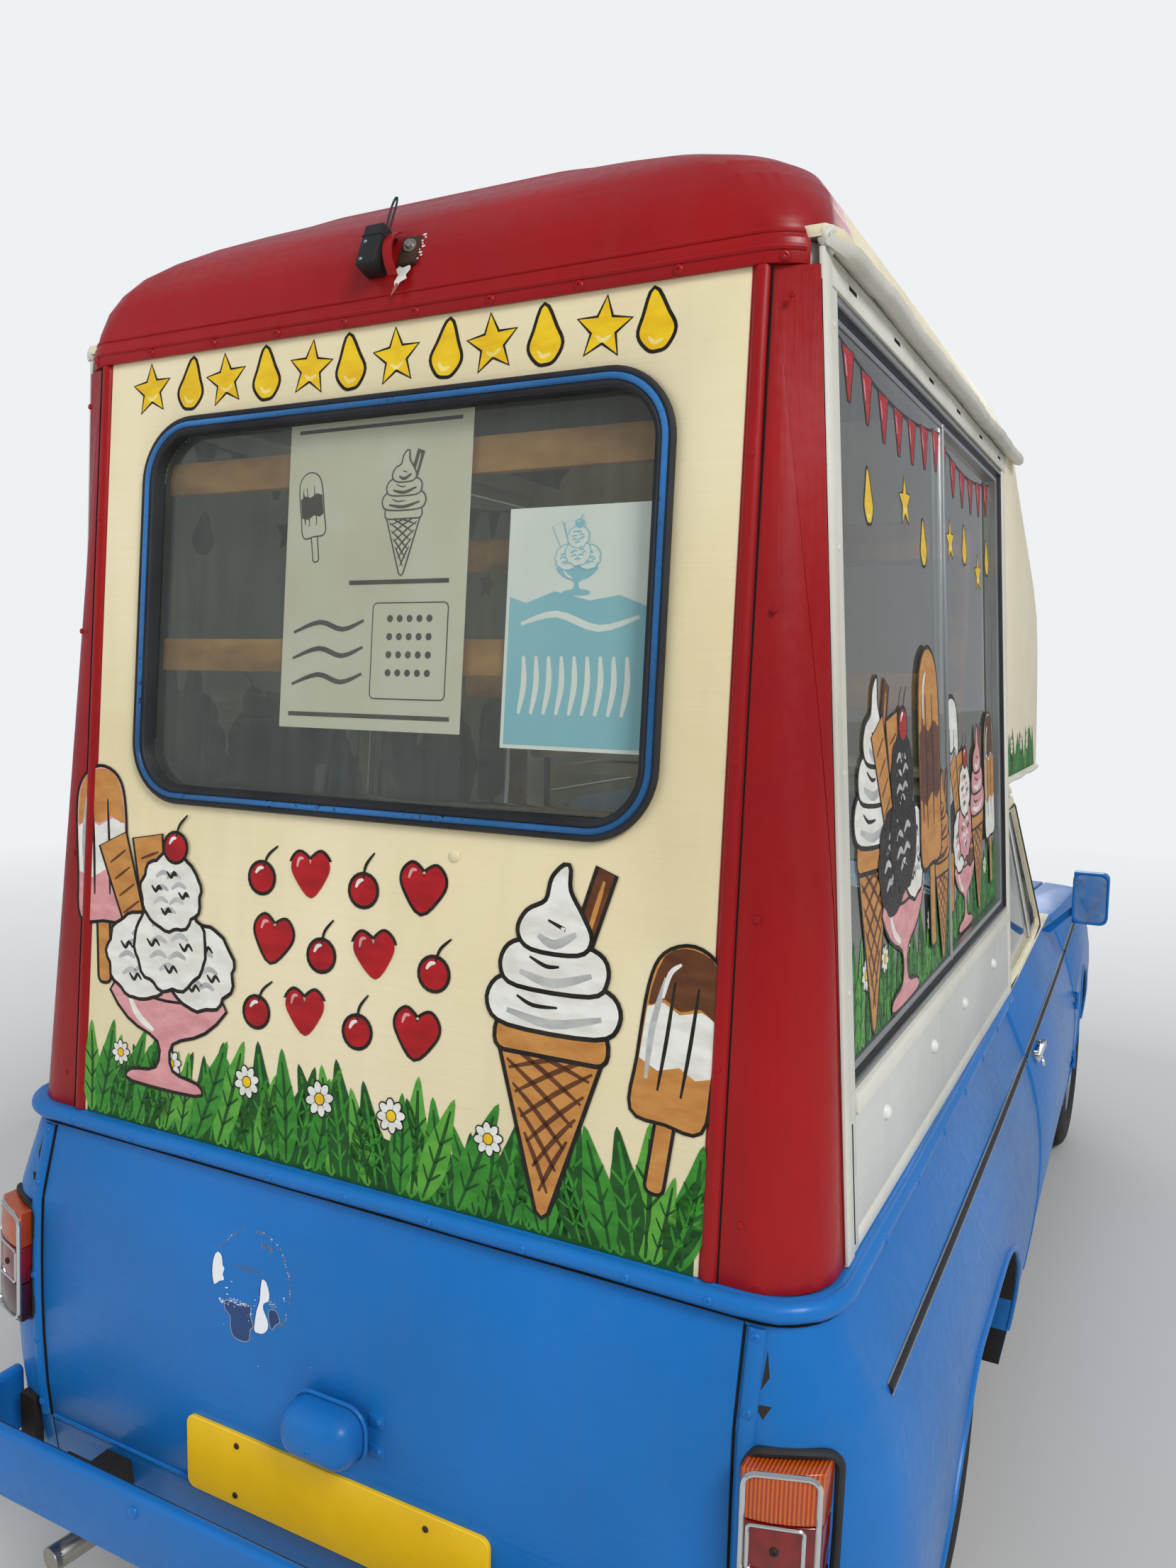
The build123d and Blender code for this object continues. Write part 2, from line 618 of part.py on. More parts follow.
with BuildPart() as wing_right:
    add(nose_shell.part)
    block((0, 800), (DOOR_FRONT + GAP, 1900), (SILL_Z, 980), Mode.INTERSECT)
    block((0, PANEL_HALF_W), (PANEL_JOINT_Y, 1900), (SILL_Z, 798), Mode.SUBTRACT)
    block((0, BONNET_HALF_W + GAP), (BONNET_REAR, 1900), (740, 980), Mode.SUBTRACT)
    block((BAY_INNER_X, BAY_INNER_X + 5), (DOOR_FRONT + GAP, BODY_FRONT - 62), (440, BAY_LID_Z + 5))
    block((BAY_INNER_X, 620), (DOOR_FRONT + GAP, 1660), (BAY_LID_Z, BAY_LID_Z + 5))
    bar_x((500, 800), FRONT_AXLE_Y, TYRE_R, FRONT_ARCH_R, Mode.SUBTRACT)
    block((500, 800), (FRONT_AXLE_Y - 300, FRONT_AXLE_Y + 300), (0, 290), Mode.SUBTRACT)
    for centre_z in DOOR_HINGE_Z:
        below, middle, above = barrel_parts(centre_z)
        bar_z(*DOOR_HINGE, (below[0], above[1]), BARREL_PIN_R)
        for part_z in (below, above):
            bar_z(*DOOR_HINGE, part_z, BARREL_R)
            block((DOOR_HINGE[0] - BARREL_R - 3, DOOR_HINGE[0] - 1), (DOOR_FRONT, DOOR_FRONT + GAP + 4), part_z)
write(wing_right.part, "front_wing_right")
write(mirrored(wing_right.part), "front_wing_left")
with BuildPart() as scuttle:
    add(nose_shell.part)
    block((-800, 800), (SCUTTLE_REAR, DOOR_FRONT + GAP), (800, 980), Mode.INTERSECT)
    bonnet_slot = BONNET_HALF_W + GAP
    block((-bonnet_slot, bonnet_slot), (BONNET_REAR - GAP, DOOR_FRONT + GAP + 1), (700, 980), Mode.SUBTRACT)
    add(cab_outer.part, mode=Mode.SUBTRACT)
    for side in ((-800, -POST_X), (POST_X, 800)):
        block(side, (0, DOOR_FRONT + GAP), (600, 980), Mode.SUBTRACT)
    for side in (-1, 1):
        bar_x((side * HINGE_X - 26, side * HINGE_X + 26), BONNET_AXIS[0], BONNET_AXIS[1], PIN_R)
        for lug_x in (side * HINGE_X - 22, side * HINGE_X + 22):
            bar_x((lug_x - 4, lug_x + 4), BONNET_AXIS[0], BONNET_AXIS[1], HINGE_R)
            block((lug_x - 4, lug_x + 4), (BONNET_REAR - 32, BONNET_REAR), (BONNET_AXIS[1] - 8, BONNET_AXIS[1] + 5))
            block((lug_x - 4, lug_x + 4), (BONNET_REAR - 32, BONNET_REAR - GAP), (900, BONNET_AXIS[1] + 5))
write(scuttle.part, "scuttle")

# Floor: low cab floor, higher load floor over the rear axle, wheel houses, tunnel and firewall
FLOOR_X = 632.0
HOUSE_X = 500.0
HOUSE_R = 330.0
TUNNEL_R = 120.0
POST_W = 60.0
with BuildPart() as firewall:
    block((-POST_X, POST_X), (FIREWALL_Y, FIREWALL_Y + SHEET), (CAB_FLOOR_Z, WAIST_Z - 12))
    add(crown(DECK_WALL), mode=Mode.INTERSECT)
with BuildPart() as floor_pan:
    block((-FLOOR_X, FLOOR_X), (-1750, STEP_Y + SHEET), (LOAD_FLOOR_Z, LOAD_FLOOR_Z + SHEET))
    add(lower_inner.part, mode=Mode.INTERSECT)
    block((-FLOOR_X, FLOOR_X), (STEP_Y, FIREWALL_Y + SHEET), (CAB_FLOOR_Z, CAB_FLOOR_Z + SHEET))
    block((-FLOOR_X, FLOOR_X), (STEP_Y, STEP_Y + SHEET), (CAB_FLOOR_Z, LOAD_FLOOR_Z + SHEET))
    add(firewall.part)
    bar_y(0, (STEP_Y + SHEET, FIREWALL_Y + SHEET), CAB_FLOOR_Z, TUNNEL_R)
    bar_y(0, (STEP_Y - 5, FIREWALL_Y + SHEET + 5), CAB_FLOOR_Z, TUNNEL_R - SHEET, Mode.SUBTRACT)
    block((-400, 400), (STEP_Y, FIREWALL_Y + SHEET), (0, CAB_FLOOR_Z), Mode.SUBTRACT)
    for side in (-1, 1):
        post = sorted((side * (POST_X - POST_W), side * POST_X))
        block(post, (FIREWALL_Y, DOOR_FRONT + GAP), (CAB_FLOOR_Z, 860))
        house = sorted((side * HOUSE_X, side * FLOOR_X))
        bar_x(house, REAR_AXLE_Y, TYRE_R, HOUSE_R)
        well = sorted((side * (HOUSE_X + SHEET), side * (FLOOR_X + 60)))
        bar_x(well, REAR_AXLE_Y, TYRE_R, HOUSE_R - SHEET, Mode.SUBTRACT)
    block((-800, 800), (-1800, STEP_Y - 1), (-100, LOAD_FLOOR_Z), Mode.SUBTRACT)
write(floor_pan.part, "floor_pan")

# Box-section rails under the floor. Columns: half x limits, y limits, z limits
RAILS = [
    ((400, 450), (-1740, STEP_Y), (LOAD_FLOOR_Z - 60, LOAD_FLOOR_Z)),
    ((290, 350), (STEP_Y, 1700), (CAB_FLOOR_Z - 60, CAB_FLOOR_Z)),
]
TOW_EYES = ((-1765.0, 215.0), (1750.0, 215.0))
TOW_EYE_TOP = (LOAD_FLOOR_Z - 60, CAB_FLOOR_Z - 60)
TOW_EYE_X = 150.0
TOW_EYE_T = 12.0
TOW_EYE_R = 13.0
OUTRIGGER_Y = (STEP_Y - 50.0, STEP_Y)
with BuildPart() as chassis_rails:
    for side in (-1, 1):
        for x, y, z in RAILS:
            block(sorted((side * x[0], side * x[1])), y, z)
        block(sorted((side * 290, side * 450)), OUTRIGGER_Y, (CAB_FLOOR_Z - 60, LOAD_FLOOR_Z))
        iron_x = sorted((side * IRON_X[0], side * IRON_X[1]))
        block(iron_x, (-BUMPER_IRON_Y, -1720), IRON_Z)
        block(iron_x, (-BUMPER_IRON_Y, -BUMPER_IRON_Y + 12), (IRON_Z[0], 440))
        block(iron_x, (-1740, -1720), (IRON_Z[0], LOAD_FLOOR_Z))
        block(sorted((side * 300, side * 350)), (1700, BUMPER_IRON_Y), (245, 285))
        block(sorted((side * 300, side * 350)), (BUMPER_IRON_Y - 12, BUMPER_IRON_Y), (245, 470))
    block((-290, 290), (1640, 1700), (CAB_FLOOR_Z - 60, CAB_FLOOR_Z))
    block((-450, 450), (-1740, -1690), (LOAD_FLOOR_Z - 60, LOAD_FLOOR_Z))
write(chassis_rails.part, "chassis_rails")

# Towing eyes: flat steel plates under the end members, each with a round eye
with BuildPart() as towing_eyes:
    for y, z in TOW_EYES:
        plate_x = (TOW_EYE_X - TOW_EYE_T / 2, TOW_EYE_X + TOW_EYE_T / 2)
        shank = sorted((y - math.copysign(26, y), y - math.copysign(76, y)))
        bar_x(plate_x, y, z, 2 * TOW_EYE_R)
        top = min(z + 2 * TOW_EYE_R, TOW_EYE_TOP[y > 0])
        block(plate_x, sorted((y, shank[y < 0])), (z - 2 * TOW_EYE_R, top))
        block(plate_x, shank, (z - 2 * TOW_EYE_R, TOW_EYE_TOP[y > 0]))
        bar_x((TOW_EYE_X - 20, TOW_EYE_X + 20), y, z, TOW_EYE_R, Mode.SUBTRACT)
write(towing_eyes.part, "towing_eyes")

# Glass of the upper body and its seals
PANE_OVERLAP = 30.0
RAIL_W = 26.0


def side_x(z):
    """Outer face of the upper body's side at height z."""
    return UPPER_W - SIDE_LEAN * (z - WAIST_Z)


def side_sheet(y, z, depth, thickness):
    """Flat sheet in the right side's leaning plane, its outer face at the given depth."""
    with BuildPart() as sheet:
        with BuildSketch(Plane.XZ.offset(-y[1])):
            with BuildLine():
                Polyline(
                    (side_x(z[0]) - depth, z[0]),
                    (side_x(z[1]) - depth, z[1]),
                    (side_x(z[1]) - depth - thickness, z[1]),
                    (side_x(z[0]) - depth - thickness, z[0]),
                    close=True,
                )
            make_face()
        extrude(amount=y[1] - y[0])
    return sheet.part


with BuildPart() as side_rails_right:
    add(side_sheet((win_back, win_front), (sill, head), 6, 22))
    add(side_sheet((win_back + RAIL_W, win_front - RAIL_W), (sill + RAIL_W, head - RAIL_W), 0, 34),
        mode=Mode.SUBTRACT)
with BuildPart() as side_window_rails:
    add(side_rails_right.part)
    add(mirrored(side_rails_right.part))
write(side_window_rails.part, "side_window_rails")

pane_z = (sill + RAIL_W, head - RAIL_W)
with BuildPart() as panes_right:
    add(side_sheet((win_back + RAIL_W, SIDE_DIVIDER_Y + PANE_OVERLAP), pane_z, 9, GLASS))
    add(side_sheet((SIDE_DIVIDER_Y - PANE_OVERLAP, win_front - RAIL_W), pane_z, 19, GLASS))
SEAL_W = 24.0
with BuildPart() as rear_window_seal:
    add(hull(stretched(UPPER, 0, 0), -7))
    add(hull(stretched(UPPER, 20, 20), UPPER_WALL + 5), mode=Mode.SUBTRACT)
    with BuildSketch(Plane.XZ.offset(1600)):
        with Locations((0, (low + high) / 2)):
            RectangleRounded(2 * half_w, high - low, corner)
            RectangleRounded(2 * (half_w - SEAL_W), high - low - 2 * SEAL_W, corner - SEAL_W,
                             mode=Mode.SUBTRACT)
    extrude(amount=300, mode=Mode.INTERSECT)
write(rear_window_seal.part, "rear_window_seal")

with BuildPart() as rear_window_glass:
    add(hull(stretched(UPPER, 0, 0), 12))
    add(hull(stretched(UPPER, 20, 20), 12 + GLASS), mode=Mode.SUBTRACT)
    with BuildSketch(Plane.XZ.offset(1600)):
        with Locations((0, (low + high) / 2)):
            RectangleRounded(2 * (half_w - SEAL_W), high - low - 2 * SEAL_W, corner - SEAL_W)
    extrude(amount=300, mode=Mode.INTERSECT)
with BuildPart() as window_glass:
    add(panes_right.part)
    add(mirrored(panes_right.part))
    add(rear_window_glass.part)
    add(windscreen.part)
write(window_glass.part, "window_glass")

# Bumpers: a channel bent round both corners
BUMPER_R = 105.0
BUMPER_H = 106.0


def bumper(centre_z, width, wrap, towards):
    """Channel bumper at one end of the van; wrap is how far its ends run round the corners."""
    with BuildPart() as solid:
        with BuildSketch(Plane.XY.offset(centre_z - BUMPER_H / 2)):
            RectangleRounded(width, 2 * BUMPER_Y, BUMPER_R)
            RectangleRounded(width - 2 * BUMPER_T, 2 * (BUMPER_Y - BUMPER_T), BUMPER_R - BUMPER_T,
                             mode=Mode.SUBTRACT)
        extrude(amount=BUMPER_H)
        face_y = sorted((towards * (BUMPER_Y - wrap), towards * (BUMPER_Y + 1)))
        block((-800, 800), face_y, (0, 900), Mode.INTERSECT)
        fillet(edges().filter_by(GeomType.LINE, reverse=True).group_by(Axis.Z)[-1], 9)
    return solid.part


REAR_BUMPER_Z = 400.0
FRONT_BUMPER_Z = 430.0
write(bumper(REAR_BUMPER_Z, 1400.0, 127.0, -1), "rear_bumper")
write(bumper(FRONT_BUMPER_Z, 1330.0, 85.0, 1), "front_bumper")

# Lamps
TAIL = (591.0, 678.0, 584.0, 760.0)
TAIL_OUT = 26.0
with BuildPart() as tail_right:
    add(hull(FLANK, -TAIL_OUT))
    block((TAIL[0], TAIL[1]), (-1900, -1700), (TAIL[2], TAIL[3]), Mode.INTERSECT)
    add(lower_outer.part, mode=Mode.SUBTRACT)
with BuildPart() as tail_lamps:
    add(tail_right.part)
    add(mirrored(tail_right.part))
write(tail_lamps.part, "tail_lamps")

with BuildPart() as lamp_right:
    with BuildSketch(Plane.XY):
        with BuildLine():
            Polyline((0, -70), (40, -70), (LAMP_R - RUN_GAP, -20), (LAMP_R - RUN_GAP, 8), (0, 22))
            Line((0, 22), (0, -70))
        make_face()
    revolve(axis=Axis.Y)
with BuildPart() as headlamps:
    for side in (-1, 1):
        with Locations(Location((side * LAMP_X, BODY_FRONT - 8, LAMP_Z))):
            add(lamp_right.part)
write(headlamps.part, "headlamps")

with BuildPart() as grille:
    block((-GRILLE[0], GRILLE[0]), (BODY_FRONT - 40, BODY_FRONT - 4), (GRILLE[1], GRILLE[2]))
    slot_pitch = (GRILLE[2] - GRILLE[1]) / 6
    with Locations(*[(0, BODY_FRONT - 20, GRILLE[1] + slot_pitch * (i + 0.5)) for i in range(6)]):
        Box(2 * GRILLE[0] - 36, 60, slot_pitch - 9, mode=Mode.SUBTRACT)
write(grille.part, "grille")

PLATE = (520.0, 111.0)
PLATE_Z = 475.5
FRONT_PLATE_Z = 360.0
FRONT_PLATE_Y = BODY_FRONT + FRONT_BOW + 4.0
with BuildPart() as number_plates:
    block((-PLATE[0] / 2, PLATE[0] / 2), (BODY_REAR - 10, BODY_REAR + 6), (PLATE_Z - PLATE[1] / 2, PLATE_Z + PLATE[1] / 2))
    block((-PLATE[0] / 2, PLATE[0] / 2), (1770, FRONT_PLATE_Y), (FRONT_PLATE_Z - PLATE[1] / 2, FRONT_PLATE_Z + PLATE[1] / 2))
    add(lower_outer.part, mode=Mode.SUBTRACT)
write(number_plates.part, "number_plates")

with BuildPart() as plate_lamp:
    with Locations((15, BODY_REAR - 30, 609)):
        Box(117, 70, 75)
    fillet(edges().filter_by(Axis.Y), 30)
    add(lower_outer.part, mode=Mode.SUBTRACT)
write(plate_lamp.part, "plate_lamp")

# Running gear under the floor
DIFF_R = 100.0
AXLE_TUBE_R = 34.0
SPRING_X = 425.0
SPRING_HALF_L = 500.0
SPRING_W = 50.0
REAR_PLATE_X = 500.0
with BuildPart() as rear_axle:
    bar_x((-REAR_PLATE_X, REAR_PLATE_X), REAR_AXLE_Y, TYRE_R, AXLE_TUBE_R)
    with Locations((0, REAR_AXLE_Y, TYRE_R)):
        Sphere(DIFF_R)
    for side in (-1, 1):
        bar_x(sorted((side * (REAR_PLATE_X - 10), side * REAR_PLATE_X)), REAR_AXLE_Y, TYRE_R, 108)
        bar_x(sorted((side * REAR_PLATE_X, side * (REAR_HALF_TRACK + 36))), REAR_AXLE_Y, TYRE_R, STUB_R)
    bar_y(0, (REAR_AXLE_Y + 60, 640), TYRE_R, 32)
with BuildPart() as leaf_springs:
    for side in (-1, 1):
        with BuildSketch(Plane.YZ.offset(side * SPRING_X - SPRING_W / 2)):
            with BuildLine():
                ends = SPRING_HALF_L
                base = TYRE_R - AXLE_TUBE_R
                ThreePointArc((REAR_AXLE_Y - ends, base + 62), (REAR_AXLE_Y, base - 32), (REAR_AXLE_Y + ends, base + 62))
                Line((REAR_AXLE_Y + ends, base + 62), (REAR_AXLE_Y + ends, base + 80))
                ThreePointArc((REAR_AXLE_Y + ends, base + 80), (REAR_AXLE_Y, base), (REAR_AXLE_Y - ends, base + 80))
                Line((REAR_AXLE_Y - ends, base + 80), (REAR_AXLE_Y - ends, base + 62))
            make_face()
        extrude(amount=SPRING_W)
        for end_y in (REAR_AXLE_Y - ends, REAR_AXLE_Y + ends):
            bar_x((side * SPRING_X - 30, side * SPRING_X + 30), end_y, base + 72, 22)
            block((side * SPRING_X - 25, side * SPRING_X + 25), (end_y - 12, end_y + 12),
                  (base + 72, LOAD_FLOOR_Z - 60))
with BuildPart() as sprung_axle:
    add(rear_axle.part)
    add(leaf_springs.part)
write(sprung_axle.part, "rear_axle")

ARM_Z = (178.0, 402.0)
ARM_INNER_X = 330.0
with BuildPart() as front_suspension:
    block((-360, 360), (FRONT_AXLE_Y - 45, FRONT_AXLE_Y + 45), (170, 230))
    for side in (-1, 1):
        for z in ARM_Z:
            block(sorted((side * ARM_INNER_X, side * (KINGPIN_X - 16))), (FRONT_AXLE_Y - 22, FRONT_AXLE_Y + 22),
                  (z - 11, z + 11))
            bar_z(side * (KINGPIN_X), FRONT_AXLE_Y, (z - 16, z + 16), 24)
        bar_z(side * 430, FRONT_AXLE_Y, (ARM_Z[0], ARM_Z[1] + 30), 40)
        block(sorted((side * 310, side * 362)), (FRONT_AXLE_Y - 40, FRONT_AXLE_Y + 40), (170, 432))
        block(sorted((side * 320, side * 470)), (FRONT_AXLE_Y - 40, FRONT_AXLE_Y + 40), (ARM_Z[1] + 20, 432))
    add(chassis_rails.part, mode=Mode.SUBTRACT)
write(front_suspension.part, "front_suspension")

with BuildPart() as engine_block:
    block((-190, 190), (900, 1500), (300, 720))
    chamfer(edges().filter_by(Axis.Y), 30)
    block((-68, 68), (655, 900), (232, 362))
    for side in (-1, 1):
        block(sorted((side * 150, side * 300)), (1235, 1333), (CAB_FLOOR_Z, CAB_FLOOR_Z + 40))
    add(rear_axle.part, mode=Mode.SUBTRACT)
write(engine_block.part, "engine_block")

EXHAUST_X = -455.0
EXHAUST_Z = 262.0
EXHAUST_R = 19.0
with BuildPart() as exhaust:
    bar_y(-220, (-520, 1150), 205, EXHAUST_R)
    bar_y(-220, (-640, -200), 205, 62)
    with BuildLine():
        route = FilletPolyline(
            (-220, -500, 205), (-220, -760, 205), (-330, -900, 215), (-340, -1500, 225),
            (EXHAUST_X, -1690, EXHAUST_Z), (EXHAUST_X - 30, -1890, EXHAUST_Z - 6), radius=70)
    with BuildSketch(Plane(route @ 0, z_dir=route % 0)):
        Circle(EXHAUST_R)
    sweep()
    block((IRON_X[0] * -1 - 50, IRON_X[0] * -1 - 38), (-1738, -1722), (EXHAUST_Z, IRON_Z[0]))
    block((-228, -212), (-312, -288), (240, CAB_FLOOR_Z))
write(exhaust.part, "exhaust")

with BuildPart() as fuel_tank:
    block((60, 385), (-1680, -1360), (235, 385))
    fillet(edges().filter_by(Axis.Y), 40)
    block((70, 130), (-1560, -1480), (380, LOAD_FLOOR_Z))
    block((320, 380), (-1560, -1480), (380, LOAD_FLOOR_Z))
write(fuel_tank.part, "fuel_tank")

# Wheels, made about their own centre with the axis along X and the outer face towards +X
DISC_X = 16.0


def tyre_solid():
    with BuildPart() as tyre:
        with BuildSketch(Plane.XY):
            with BuildLine():
                half = TYRE_W / 2
                bead = RIM_W / 2 - 6
                wall = [(bead, RIM_R), (bead, RIM_R + 14), (half, RIM_R + 60), (half - 12, TYRE_R - 9),
                        (half - 26, TYRE_R)]
                Polyline(*wall, *((-x, radius) for x, radius in reversed(wall)), close=True)
            make_face()
        revolve(axis=Axis.X)
    return tyre.part


def rim_solid(drum_x):
    """Slotted steel wheel with its hub and drum; drum_x is the drum's inner end."""
    with BuildPart() as rim:
        with BuildSketch(Plane.XY):
            with BuildLine():
                Polyline(
                    (-RIM_W / 2, RIM_R + 14),
                    (-RIM_W / 2 + 6, RIM_R + 14),
                    (-RIM_W / 2 + 6, RIM_R),
                    (RIM_W / 2 - 6, RIM_R),
                    (RIM_W / 2 - 6, RIM_R + 14),
                    (RIM_W / 2, RIM_R + 14),
                    (RIM_W / 2, RIM_R - 6),
                    (RIM_W / 2 - 12, RIM_R - 8),
                    (DISC_X + 8, RIM_R - 12),
                    (DISC_X + 30, 100),
                    (DISC_X + 14, 60),
                    (DISC_X + 14, 0),
                    (DISC_X, 0),
                    (DISC_X, 66),
                    (DISC_X + 22, 104),
                    (DISC_X, RIM_R - 12),
                    (-RIM_W / 2, RIM_R - 8),
                    close=True,
                )
            make_face()
        revolve(axis=Axis.X)
        bar_x((drum_x, DISC_X + 2), 0, 0, 62)
        with BuildSketch(Plane.YZ.offset(DISC_X - 10)):
            with PolarLocations(128, 12):
                Rectangle(13, 28)
        extrude(amount=60, mode=Mode.SUBTRACT)
        with BuildSketch(Plane.YZ.offset(DISC_X + 10)):
            Circle(40)
        extrude(amount=26, taper=12)
        bar_x((drum_x - 1, 38), 0, 0, STUB_R + RUN_GAP, Mode.SUBTRACT)
    return rim.part


STUB_END = 36.0
tyre = tyre_solid()
WHEELS = [
    ("front", FRONT_AXLE_Y, FRONT_HALF_TRACK, -20.0),
    ("rear", REAR_AXLE_Y, REAR_HALF_TRACK, -90.0),
]
for end, axle_y, half_track, drum_x in WHEELS:
    rim = rim_solid(drum_x)
    for side, name in ((1, "right"), (-1, "left")):
        place = Location((side * half_track, axle_y, TYRE_R), (0, 0, 0 if side > 0 else 180))
        write(tyre.moved(place), f"tyre_{end}_{name}")
        write(rim.moved(place), f"rim_{end}_{name}")

TRACK_ARM_Z = (232.0, 250.0)
with BuildPart() as knuckle_right:
    block((KINGPIN_X - 20, KINGPIN_X + 20), (FRONT_AXLE_Y - 24, FRONT_AXLE_Y + 24),
          (ARM_Z[0] + 16 + RUN_GAP, ARM_Z[1] - 16 - RUN_GAP))
    bar_x((KINGPIN_X - 20, FRONT_HALF_TRACK + STUB_END), FRONT_AXLE_Y, TYRE_R, STUB_R)
    with BuildSketch(Plane.XY.offset(TRACK_ARM_Z[0])):
        with BuildLine():
            Polyline(
                (KINGPIN_X - 20, FRONT_AXLE_Y + 10),
                (KINGPIN_X + 8, FRONT_AXLE_Y + 10),
                (KINGPIN_X - TRACK_ROD_IN + 14, FRONT_AXLE_Y - TRACK_ARM),
                (KINGPIN_X - TRACK_ROD_IN - 14, FRONT_AXLE_Y - TRACK_ARM),
                close=True,
            )
        make_face()
        with Locations((KINGPIN_X - TRACK_ROD_IN, FRONT_AXLE_Y - TRACK_ARM)):
            Circle(14)
    extrude(amount=TRACK_ARM_Z[1] - TRACK_ARM_Z[0])
write(knuckle_right.part, "knuckle_right")
write(mirrored(knuckle_right.part), "knuckle_left")

TRACK_ROD_X = KINGPIN_X - TRACK_ROD_IN
with BuildPart() as track_rod:
    bar_x((-TRACK_ROD_X, TRACK_ROD_X), FRONT_AXLE_Y - TRACK_ARM, 216, 10)
    for side in (-1, 1):
        bar_z(side * TRACK_ROD_X, FRONT_AXLE_Y - TRACK_ARM, (202, TRACK_ARM_Z[0] - RUN_GAP), 13)
write(track_rod.part, "track_rod")

# Cab fittings
SEAT_X = 290.0
WHEEL_HUB = (SEAT_X, 285.0, 815.0)
COLUMN_TILT = 32.0
COLUMN_R = 24.0
tilt = math.radians(COLUMN_TILT)
column_plane = Plane(origin=WHEEL_HUB, z_dir=(0, math.cos(tilt), -math.sin(tilt)), x_dir=(1, 0, 0))
with BuildPart() as dashboard:
    with BuildSketch(Plane.YZ.offset(-560)):
        with BuildLine():
            Polyline((560, 700), (545, 830), (580, 862), (FIREWALL_Y, 872), (FIREWALL_Y, 700), close=True)
        make_face()
    extrude(amount=1120)
    with BuildSketch(column_plane.offset(32)):
        Circle(COLUMN_R)
    extrude(amount=600)
    block((SEAT_X - 16, SEAT_X + 16), (590, 640), (620, 710))
    block((-800, 800), (FIREWALL_Y, 1000), (0, 1200), Mode.SUBTRACT)
write(dashboard.part, "dashboard")

RIM_CENTRE_R = 185.0
with BuildPart() as steering_wheel:
    with BuildSketch(column_plane.offset(-RUN_GAP + 31.5)):
        Circle(26)
    extrude(amount=-36)
    with Locations(Location(column_plane) * Pos(0, 0, 8)):
        Box(2 * RIM_CENTRE_R - 8, 26, 8)
    with BuildSketch(Plane(origin=WHEEL_HUB, x_dir=(1, 0, 0), z_dir=(0, math.sin(tilt), math.cos(tilt)))):
        with Locations((RIM_CENTRE_R, 0)):
            RegularPolygon(11.5, 12)
    revolve(axis=Axis(WHEEL_HUB, column_plane.z_dir))
write(steering_wheel.part, "steering_wheel")

CUSHION_W = 450.0
with BuildPart() as seats:
    for side in (-1, 1):
        x = (side * SEAT_X - CUSHION_W / 2, side * SEAT_X + CUSHION_W / 2)
        block((x[0] + 70, x[1] - 70), (-190, 170), (CAB_FLOOR_Z + SHEET, 450))
        block(x, (-230, 210), (450, 590))
        with BuildSketch(Plane.YZ.offset(x[0])):
            with BuildLine():
                Polyline((-230, 450), (-130, 590), (-190, 1110), (-270, 1110), (-255, 560), close=True)
            make_face()
        extrude(amount=CUSHION_W)
write(seats.part, "seats")

# Load space fittings
COUNTER = ((-498.0, -200.0), (-1640.0, -720.0), (LOAD_FLOOR_Z + SHEET, 1040.0))
with BuildPart() as serving_counter:
    block(*COUNTER)
    block((COUNTER[0][0] - 108, COUNTER[0][1] + 12), (COUNTER[1][0], COUNTER[1][1] + 12), (1040, 1072))
write(serving_counter.part, "serving_counter")

SHELF_Y = (-660.0, -440.0)
SHELF_Z = (1560.0, 1850.0)
SHELF_X = 545.0
with BuildPart() as shelves:
    for z in SHELF_Z:
        block((-SHELF_X, SHELF_X), SHELF_Y, (z, z + 22))
        block((-SHELF_X, SHELF_X), (SHELF_Y[0] - 20, SHELF_Y[0]), (z - 12, z + 60))
    for side in (-1, 1):
        block(sorted((side * SHELF_X, side * (SHELF_X - 30))), (SHELF_Y[1] - 40, SHELF_Y[1]),
              (LOAD_FLOOR_Z + SHEET, SHELF_Z[1] + 60))
write(shelves.part, "shelves")
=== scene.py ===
"""Ice cream van: the finish of every surface and the close detail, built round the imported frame."""

import json
import math
import random

import bpy
from bpy.props import FloatProperty, FloatVectorProperty, IntProperty, PointerProperty
from mathutils import Matrix, Vector
from mathutils.bvhtree import BVHTree

